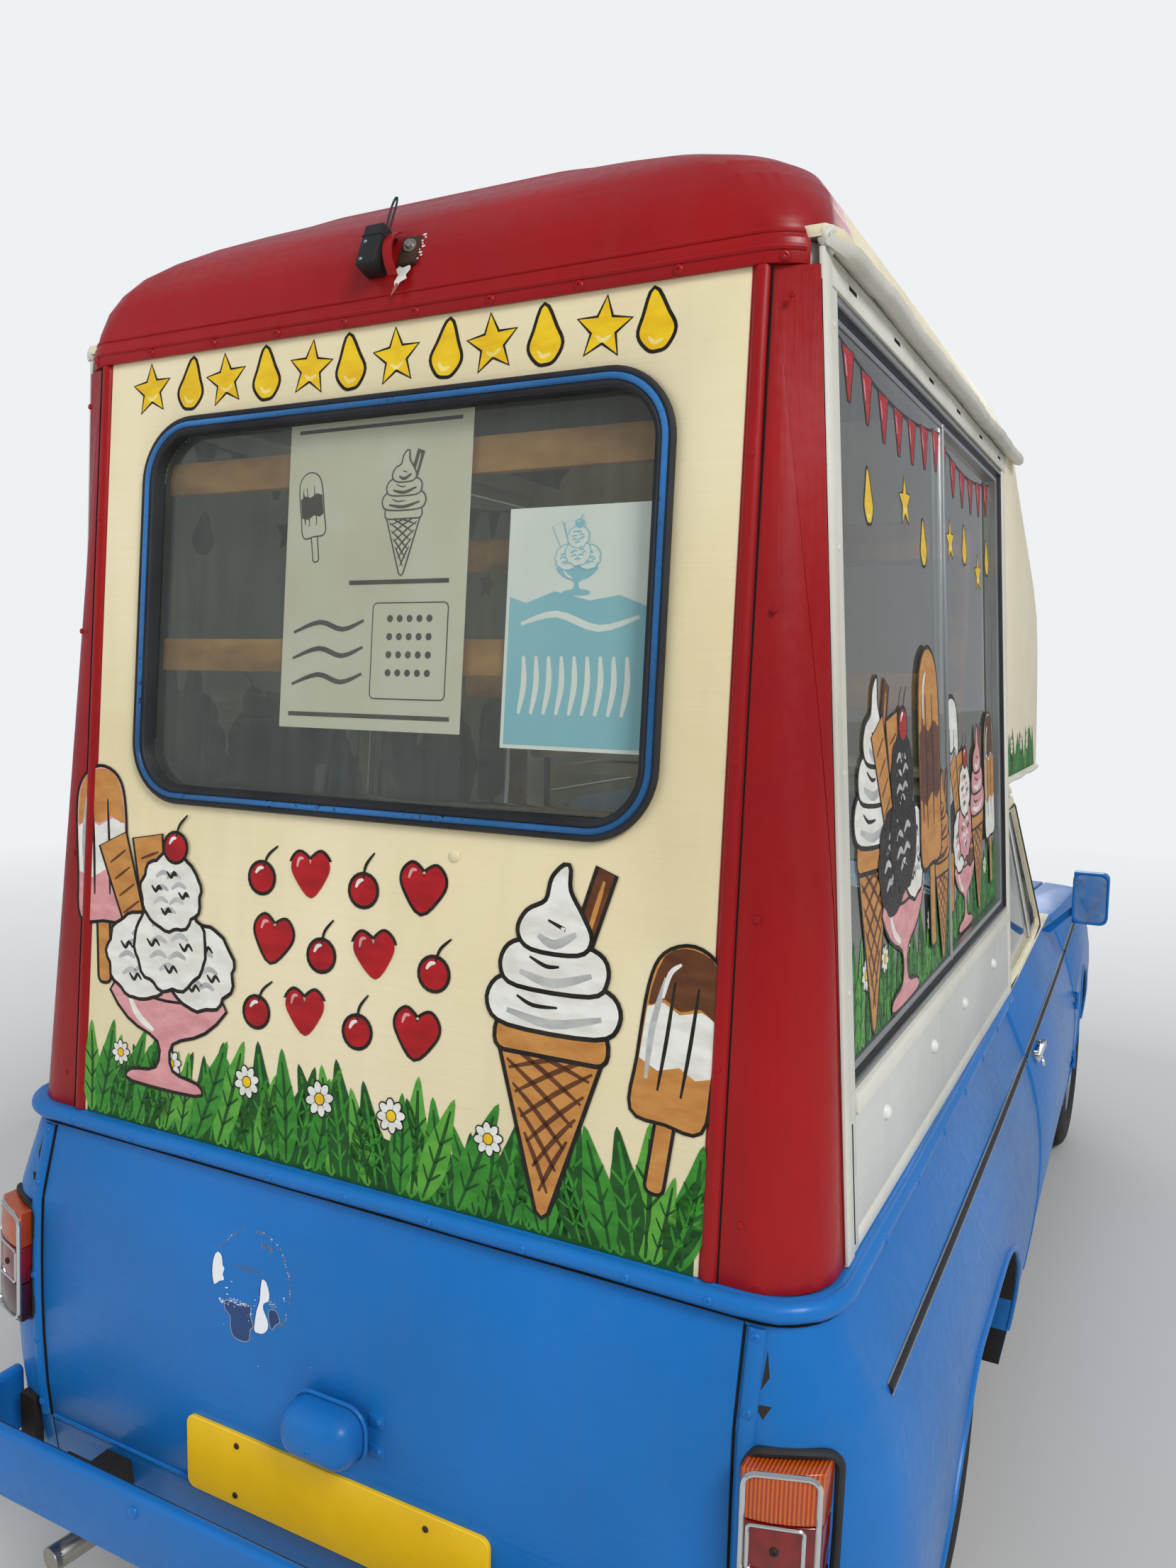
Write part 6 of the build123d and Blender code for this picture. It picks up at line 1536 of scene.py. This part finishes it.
class VAN_OT_nose(bpy.types.Operator):
    """Headlamps, indicators, grille, windscreen rubber, wipers, air inlets, bonnet rib and the luton's lip"""

    bl_idname = "van.nose"
    bl_label = "Nose fittings"

    def execute(self, context):
        bowls, glasses, rims, bulbs = [], [], [], []
        lamp = 478
        for side in (-1, 1):
            centre, ahead = at(side * lamp, 1792, 655), FORE
            bowls.append(lathe([(0, -60), (24, -57), (48, -44), (70, -18), (80, 2), (84, 2), (86, -20), (44, -69),
                                (0, -69)], centre, ahead, 48))
            glasses.append(lathe([(0, 21.5), (24, 20.4), (48, 16.6), (66, 11.6), (79, 6), (80, 3), (66, 8),
                                  (48, 12.8), (24, 16.6), (0, 17.6)], centre, ahead, 48))
            rims.append(lathe([(79, 3), (80.5, 9), (84, 11.5), (87.6, 9), (88.6, 2), (88.6, -18), (86, -18), (85, 0),
                               (80, 1)], centre, ahead, 48))
            bulbs.append(lathe([(0, -20), (7, -24), (9, -32), (7, -44), (0, -46)], centre, ahead, 20))
        settled(bowls, "headlamp_bowls", "chrome", stands_for=["headlamps"])
        settled(glasses, "headlamp_glasses", "lamp_glass")
        settled(rims, "headlamp_rims", "chrome")
        settled(bulbs, "headlamp_bulbs", "lamp_glass")

        face = onto(["front_panel"], "front")
        lenses = [slab(face, (side * lamp - 52, side * lamp + 52), (512, 548), (-3, 15), 6.0) for side in (-1, 1)]
        settled(lenses, "indicator_lenses", "amber_lens")
        loops = []
        for side in (-1, 1):
            line = [face(side * lamp + p.x, p.y, 1.5) for p in oblong((-56, 56), (508, 552), 8, 4)]
            loops.append(hoop(line, 3.4))
        settled(loops, "indicator_bezels", "chrome")

        bars = [cuboid((-352, 352), (1770, 1789), (z - 1.8, z + 1.8), 0.8) for z in spaced(597, 710, 10)]
        bars += [cuboid((x - 3, x + 3), (1764, 1786), (588, 719), 1.0) for x in spaced(-290, 290, 4)]
        settled(bars, "grille_bars", "aluminium")
        settled(cuboid((-362, 362), (1754, 1758), (588, 719)), "grille_backing", "black_plastic")
        frame_line = [face(p.x, p.y, 1.0) for p in oblong((-374, 374), (581, 726), 8, 5)]
        settled(hoop(frame_line, 5.5), "grille_surround", "chrome")

        shell = onto(["cab_shell"], "front")
        corners = [(-556, 918), (556, 918), (486, 1291), (-486, 1291)]
        outline = rounded(corners, 52, 8)
        fine = []
        for a, b in zip(outline, outline[1:] + outline[:1]):
            cells = max(1, int((b - a).length / 60))
            fine += [a + (b - a) * i / cells for i in range(cells)]
        settled(hoop([shell(p.x, p.y, 1.0) for p in fine], 7.5), "screen_rubber", "rubber")
        settled(hoop([shell(p.x, p.y, 7.0) for p in fine], 2.6, 2), "screen_rubber_bead", "chrome")

        screen = onto(["window_glass"], "front")
        arms, blades, hubs = [], [], []
        for x in (-330, 130):
            foot = shell(x, 905, 9.0)
            tip = screen(x + 205, 1010, 15.0)
            arms.append(tube([foot, foot.lerp(tip, 0.35) + at(0, 7, 5), tip], 3.0, sides=2))
            blades.append(tube([screen(x + u, v, 10.0) for u, v in ((40, 952), (120, 984), (205, 1010), (290, 1030),
                                                                  (370, 1044))], 3.6, sides=2))
            hubs.append(lathe([(0, 12), (7, 12), (10, 9), (11, 0), (0, 0)], foot - at(0, 4, 4), Vector((0, 0.7, 0.7)),
                              18))
        settled(arms + hubs, "wiper_arms", "aluminium")
        settled(blades, "wiper_blades", "rubber")

        lid = onto(["bonnet"], "top")
        settled(tube([lid(0, y, -5.5) for y in spaced(775, 1770, 24)], 11.0, sides=4), "bonnet_rib",
                "blue", "bonnet")
        edges = [tube([lid(side * 492, y, -1.0) for y in spaced(752, 1776, 24)], 3.0) for side in (-1, 1)]
        settled(edges, "bonnet_flanges", "blue", "bonnet")
        cowl = onto(["scuttle"], "top")
        # Dark strips on the scuttle: painted shade for the openings of the air inlets
        inlets = [slab(cowl, (x - 3.5, x + 3.5), (714, 731), (-0.5, 0.8), 0.0) for x in spaced(-330, 330, 26)
                  if abs(x) > 60]
        settled(inlets, "air_inlets", "shadow_gap")

        # Rough white lip of sealer under the luton's edge
        half = girdle("luton", 1391, front_rays(-300, (500.0, 190.0)), 0.5)
        line = [p + at(0, 0, 1.6 * math.sin(i * 1.7) - 2) for i, p in enumerate(whole(half))]
        settled(tube(line, 6.5, sides=3), "luton_lip", "white")
        return {"FINISHED"}


class VAN_OT_rear_painting(bpy.types.Operator):
    """Signwriter's picture on the rear panel: ices, fruit and hearts over a bank of leaves, stars along the top"""

    bl_idname = "van.rear_painting"
    bl_label = "Rear painting"

    def execute(self, context):
        shapes = hedge(-507, 507, 924, 165, 5)
        shapes += shifted(lolly("rose", "cloud", "tan"), -478, 1130, 1.12, 5, 18)
        shapes += shifted(sundae(), -345, 990, 1.12, 0, 26)
        shapes += shifted(wafer_cone(), 305, 948, 1.32, 0, 18)
        shapes += shifted(lolly("tan", "cloud", "brown"), 452, 1010, 1.0, -7, 18)
        for row, z in enumerate((1108, 1202, 1298)):
            for k in range(4):
                x = -172 + 92 * k + (24 if row % 2 else 0)
                motif = heart() if (k + row) % 2 else cherry()
                shapes += shifted(motif, x, z, 0.98 if (k + row) % 2 else 1.12, (-6, 4, 7, -3)[k], 12)
        for k in range(12):
            x = -424 + 75 * k
            shapes += shifted(star() if k % 2 == 0 else drop(), x, 1987 if k % 2 == 0 else 1989, 0.92,
                              (4, -5, 6)[k % 3], 0)
        painted("rear_picture", shapes, rear_wall)
        return {"FINISHED"}


class VAN_OT_side_painting(bpy.types.Operator):
    """Signwriter's pictures on the side windows, and the leaves along the foot of the luton"""

    bl_idname = "van.side_painting"
    bl_label = "Side painting"

    def execute(self, context):
        black = (("ink", "dove"), ("cloud", "dove"), ("ink", "dove"))
        mixed = (("cloud", "rose"), ("brown", "tan"), ("rose", "cloud"))
        # Columns: motif, distance along the window, foot, size, turn, height of its layers
        row = [
            (wafer_cone(), 1484, 1150, 1.42, -4, 18), (sundae(black), 1300, 1148, 1.25, 0, 38),
            (lolly("tan", "brown", "tan", "brown"), 1104, 1190, 1.6, 2, 80),
            (wafer_cone("tan", "brown", "tan", "brown"), 1024, 1150, 0.95, 0, 64),
            (lolly("ink", "dove", "cloud"), 872, 1200, 1.3, -3, 18), (sundae(mixed), 742, 1148, 1.0, 0, 26),
            (wafer_cone("rose", "cloud"), 600, 1160, 1.1, 2, 52),
            (lolly("cloud", "tan", "brown"), 452, 1190, 1.2, 3, 74),
        ]
        for side, look in ((1, "right"), (-1, "left")):
            glass, reach = onto(["window_glass"], look), sorted((-378 * side, -1593 * side))
            panes = ((-1592, -949), (-943, -379)) if side > 0 else ((379, 943), (949, 1592))
            shapes = []
            for number, (start, end) in enumerate(panes):
                shapes += hedge(start, end, 1143, 145, 20 + number + 2 * side, 16.0)
                shapes += bunting(start + 10, end - 10, 2016, 26, max(4, int((end - start) / 88)))
            for motif, along, foot, size, turn, layer in row:
                shapes += shifted(motif, -side * along, foot, size, side * turn, layer)
            for k, along in enumerate((1450, 1235, 1110, 830, 690, 540, 430)):
                motif = star() if k % 2 else drop()
                shapes += shifted(motif, -side * along, 1812 + 26 * math.sin(2.2 * k), 0.9, 5)
            painted(f"window_picture_{look}", shapes, lambda u, v, out: glass(
                min(max(u, reach[0]), reach[1]), min(max(v, 1142), 2025), out))
            shapes = hedge(*((-304, 150) if side > 0 else (-150, 304)), 1398, 105, 40 + side, 15.0)
            painted(f"luton_leaves_{look}", shapes, onto(["luton"], look))
        return {"FINISHED"}


def cushion(x, y, z, crown, pull, channels=0, lean=None):
    """Stuffed block between limits in millimetres: crowned on top, sides drawn in between its corners, with sewn
    channels across the top; lean, if given, moves each point in metres afterwards."""
    low, high = at(x[0], y[0], z[0]), at(x[1], y[1], z[1])
    centre, half = (low + high) / 2, (high - low) / 2
    bpy.ops.mesh.primitive_cube_add(size=2)
    made = bpy.context.object
    edit(made, ("subdivide", {"number_cuts": 27}))
    for vertex in made.data.vertices:
        u, v, w = vertex.co
        ball = facing(u, v, w) * 1.25
        near = max(0.0, (abs(u) ** 6 + abs(v) ** 6 + abs(w) ** 6) - 1.6) * 0.22
        u2, v2, w2 = (c + (b - c) * min(near, 0.35) for c, b in zip((u, v, w), ball))
        grow = w2 + (crown / (half.z / MM)) * (1 - u * u) * (1 - v * v) * (1 if w > -0.5 else 0)
        u2 *= 1 - pull * (1 - v * v) * (1 - 0.6 * abs(w))
        v2 *= 1 - pull * (1 - u * u) * (1 - 0.6 * abs(w))
        if channels and w > 0.6 and abs(u) < 0.8 and abs(v) < 0.88:
            groove = abs(math.cos(u * math.pi * channels / 1.6)) ** 14
            grow -= 7.0 * groove / (half.z / MM)
        spot = centre + Vector((u2 * half.x, v2 * half.y, grow * half.z))
        vertex.co = lean(spot) if lean else spot
    return made


class VAN_OT_cab(bpy.types.Operator):
    """Seats, dials, levers and pedals inside the cab"""

    bl_idname = "van.cab"
    bl_label = "Cab interior"

    def execute(self, context):
        # The backs lean about the height of their foot, in metres
        foot, slope = 0.59, 0.06 / 0.52

        def back(spot):
            return Vector((spot.x, spot.y - slope * (spot.z - foot), spot.z))

        for side, word in SIDES:
            x = (side * 290 - 222, side * 290 + 222)
            for block, name, fill in (
                (cushion(x, (-150, 206), (450, 576), 16, 0.03, 4), "cushion", 0.8),
                (cushion(x, (-232, -148), (470, 1104), 4, 0.035, 0, back), "back", 0.85),
                (cushion((x[0] + 38, x[1] - 38), (-168, -128), (600, 1050), 3, 0.05, 0, back), "back_pad", 0.8),
            ):
                settled(block, f"seat_{name}_{word}", "vinyl", angle=60, stands_for=["seats"])
            loop = [at(p.x, p.y, 558) for p in oblong((x[0] + 5, x[1] - 5), (-143, 200), 26, 6)]
            edge = [back(at(p.x, -146, p.y)) for p in oblong((x[0] + 8, x[1] - 8), (486, 1096), 24, 6)]
            settled([tube(loop, 4.0, True), tube(edge, 4.0, True)], f"seat_piping_{word}", "piping")
            settled(cuboid((x[0] + 68, x[1] - 68), (-188, 168), (304, 452), 6.0), f"seat_base_{word}",
                    "iron", stands_for=["seats"])

        ahead = facing(0, -0.97, 0.24)
        rings, faces, needles = [], [], []
        for dx in (-62, 62):
            centre = at(290 + dx, 556, 800)
            rings.append(lathe([(40, -4), (48, -4), (48, 5), (45, 8), (41, 6)], centre, ahead, 32))
            faces.append(lathe([(0, 1), (41, 1), (41, -3), (0, -3)], centre, ahead, 32))
            tip = Vector((math.copysign(0.022, dx), 0.004, 0.018))
            needles.append(tube([centre + ahead * 0.003, centre + ahead * 0.003 + tip], 1.2))
        settled(rings, "dial_rings", "chrome")
        settled(faces, "dial_faces", "black_plastic")
        settled(needles, "dial_needles", "plug_white")
        shelf = cuboid((-500, 120), (566, 600), (716, 790), 6.0)
        settled(shelf, "parcel_recess", "trim_board")

        lever = [at(0, 420, 300), at(0, 400, 420), at(0, 372, 548)]
        gaiter = lathe([(58, -4), (52, 10), (56, 16), (44, 30), (47, 36), (34, 52), (36, 58), (22, 76), (0, 80),
                        (0, -4)], at(0, 420, 302), UP, 24)
        brake = [at(0, 120, 318), at(0, 60, 352), at(0, -70, 404)]
        settled([tube(lever, 5.5, smooth=True, sides=3), tube(brake, 7.0, smooth=True, sides=3)],
                "cab_levers", "chrome")
        knob = lathe([(0, 26), (12, 24), (21, 14), (24, 0), (20, -12), (9, -20), (0, -20)], at(0, 368, 560),
                     Vector((0, -0.2, 0.98)), 24)
        grip = rod(at(0, -20, 385), at(0, -92, 411), 12, 20, 3)
        settled([gaiter, knob, grip], "cab_lever_grips", "rubber")
        pads = []
        for x, z in ((392, 410), (300, 418), (222, 424)):
            pads.append(cuboid((x - 24, x + 24), (628, 640), (z - 26, z + 22), 3.0))
            pads.append(rod(at(x, 638, z), at(x, 700, z + 150), 6))
        settled(pads, "pedals", "rubber")
        mirror = cuboid((-96, 96), (424, 446), (1206, 1262), 9.0, 3)
        settled(mirror, "inside_mirror", "black_plastic")
        settled(rod(at(0, 446, 1236), at(0, 452, 1300), 5), "inside_mirror_stem", "chrome")
        return {"FINISHED"}


class VAN_OT_shop(bpy.types.Operator):
    """Lids, doors and handles of the counter, and the metal strip along its end"""

    bl_idname = "van.shop"
    bl_label = "Shop interior"

    def execute(self, context):
        lids, knobs = [], []
        for y in (-1470, -1180, -890):
            lids.append(lathe([(0, 13), (60, 12), (96, 8), (104, 3), (108, 3), (108, 0), (0, 0)], at(-345, y, 1072),
                              UP, 40))
            knobs.append(lathe([(0, 34), (9, 33), (13, 27), (7, 19), (6, 12), (0, 12)], at(-345, y, 1072),
                               UP, 20))
        settled(lids, "counter_lids", "aluminium")
        settled(knobs, "counter_lid_knobs", "black_plastic")
        doors, pulls = [], []
        for y in (-1620, -1318, -1016):
            doors.append(cuboid((-203, -192), (y, y + 282), (500, 1000), 2.5))
            pulls.append(tube([at(-192, y + 246, 700), at(-176, y + 246, 706), at(-176, y + 246, 794),
                               at(-192, y + 246, 800)], 4.5, sides=3))
        settled(doors, "counter_doors", "laminate")
        settled(pulls, "counter_door_pulls", "chrome")
        settled(cuboid((-612, -184), (-706, -700), (1038, 1074), 1.5), "counter_edge", "aluminium")
        return {"FINISHED"}


BACKDROP = (0.86, 0.88, 0.9, 1.0)
# What shows where the sight goes right through the cab or the shop and out of the windows beyond
BEYOND_GLASS = (0.04, 0.043, 0.034, 1.0)


class VAN_OT_stage(bpy.types.Operator):
    """Floor, backdrop, lamps and the camera at the photograph's place"""

    bl_idname = "van.stage"
    bl_label = "Stage and camera"

    def execute(self, context):
        scene = context.scene
        bpy.ops.mesh.primitive_plane_add(size=400, location=(0, 0, 0))
        floor = context.object
        floor.name = "studio_floor"
        material, add, shader, place = new_material("matt_studio_floor")
        base = list(van().floor_colour)
        tone = add("MapRange", grained(add, place, 0.8, 2.0), 0.3, 0.7)
        filled(shader, {"Base Color": add("Mix", tone, base, [c * 0.97 for c in base], data_type="RGBA"),
                        "Roughness": 0.85})
        # Far from the van the floor takes the backdrop's own tone, so that no horizon shows
        far = add("MapRange", add("VectorMath", place, operation="LENGTH"), 2.6, 9.0)
        path = add("LightPath").node.outputs
        through = path["Is Transmission Ray"]
        seen = add("Math", path["Is Camera Ray"], through, operation="MAXIMUM")
        share = add("Math", add("Math", far, 0.6, operation="POWER"), seen, operation="MULTIPLY")
        glow = add("Emission", add("Mix", through, BACKDROP, BEYOND_GLASS, data_type="RGBA"), 1.0)
        filled(output_of(material), {"Surface": add("MixShader", share, shader.outputs["BSDF"], glow)})
        floor.data.materials.append(material)

        world = bpy.data.worlds.new("studio_world")
        scene.world = world
        world.use_nodes = True
        world.node_tree.nodes.clear()
        add = wiring(world.node_tree)
        path = add("LightPath").node.outputs
        soft = add("Background", (0.82, 0.88, 1.0), 0.46)
        shown = add("MixShader", path["Is Camera Ray"], soft, add("Background", BACKDROP, 1.0))
        shown = add("MixShader", path["Is Transmission Ray"], shown, add("Background", BEYOND_GLASS, 1.0))
        add("OutputWorld", shown)

        # Columns: name, place, aimed at, size, share of the key light's power
        for name, place, aim, size, share in (
            ("key", (5.5, -5.0, 6.5), (0, -0.6, 1.1), 2.6, 1.0),
            ("fill", (-6.0, -6.5, 3.2), (0, -0.6, 1.1), 5.0, 0.42),
            ("front", (-1.5, 8.0, 4.5), (0, 0.8, 0.9), 4.5, 0.5),
        ):
            data = bpy.data.lights.new(f"{name}_lamp", "AREA")
            data.size = size
            data.energy = van().key_power * share
            lamp = added(f"{name}_lamp", data)
            lamp.location = place
            lamp.rotation_euler = (Vector(aim) - Vector(place)).to_track_quat("-Z", "Y").to_euler()
            # Mirrored in the rear glass or seen through the windows, a lamp would be a white patch
            lamp.visible_glossy = name != "fill"
            lamp.visible_transmission = False

        # Camera solved from the rear number plate and the top's straight edges: angles in radians, then the focal
        # length and the picture's height in its own pixels
        yaw, pitch, roll = 0.481, -0.097, 0.016
        focal, height = 1631.0, 2212.0
        forward = Vector((-math.sin(yaw) * math.cos(pitch), math.cos(yaw) * math.cos(pitch), math.sin(pitch)))
        right = forward.cross(UP).normalized()
        up = right.cross(forward)
        across = math.cos(roll) * right + math.sin(roll) * up
        upwards = -math.sin(roll) * right + math.cos(roll) * up
        turn = Matrix((across, upwards, -forward)).transposed()
        data = bpy.data.cameras.new("photo_camera")
        data.sensor_width = 36.0
        data.lens = focal / height * data.sensor_width
        camera = added("photo_camera", data)
        camera.matrix_world = Matrix.Translation(at(978.5, -2969.1, 1614.1)) @ turn.to_4x4()
        scene.camera = camera
        scene.view_settings.view_transform = "Standard"
        return {"FINISHED"}


OPERATORS = [VAN_OT_dress_frame, VAN_OT_rear_window, VAN_OT_rear_trim, VAN_OT_side_trim, VAN_OT_waist_trim,
             VAN_OT_tail, VAN_OT_doors, VAN_OT_wheels, VAN_OT_nose, VAN_OT_rear_painting, VAN_OT_side_painting,
             VAN_OT_cab, VAN_OT_shop, VAN_OT_stage]


class VAN_PT_pieces(bpy.types.Panel):
    """Sidebar list of the van's settings and of the steps that build it"""

    bl_idname = "VAN_PT_pieces"
    bl_label = "Ice cream van"
    bl_space_type = "VIEW_3D"
    bl_region_type = "UI"
    bl_category = "Van"

    def draw(self, context):
        for name in VanSettings.__annotations__:
            self.layout.prop(van(), name)
        for step in OPERATORS:
            self.layout.operator(step.bl_idname)


CLASSES = [VanSettings, *OPERATORS, VAN_PT_pieces]


def register():
    """Register the classes and the settings."""
    for made in CLASSES:
        bpy.utils.register_class(made)
    bpy.types.Scene.van_settings = PointerProperty(type=VanSettings)


def unregister():
    """Remove the settings and the classes."""
    del bpy.types.Scene.van_settings
    for made in reversed(CLASSES):
        bpy.utils.unregister_class(made)


def main():
    """Build every piece in order."""
    register()
    random.seed(7)
    for step in OPERATORS:
        getattr(bpy.ops.van, step.bl_idname.split(".")[1])()


if __name__ == "__main__":
    main()
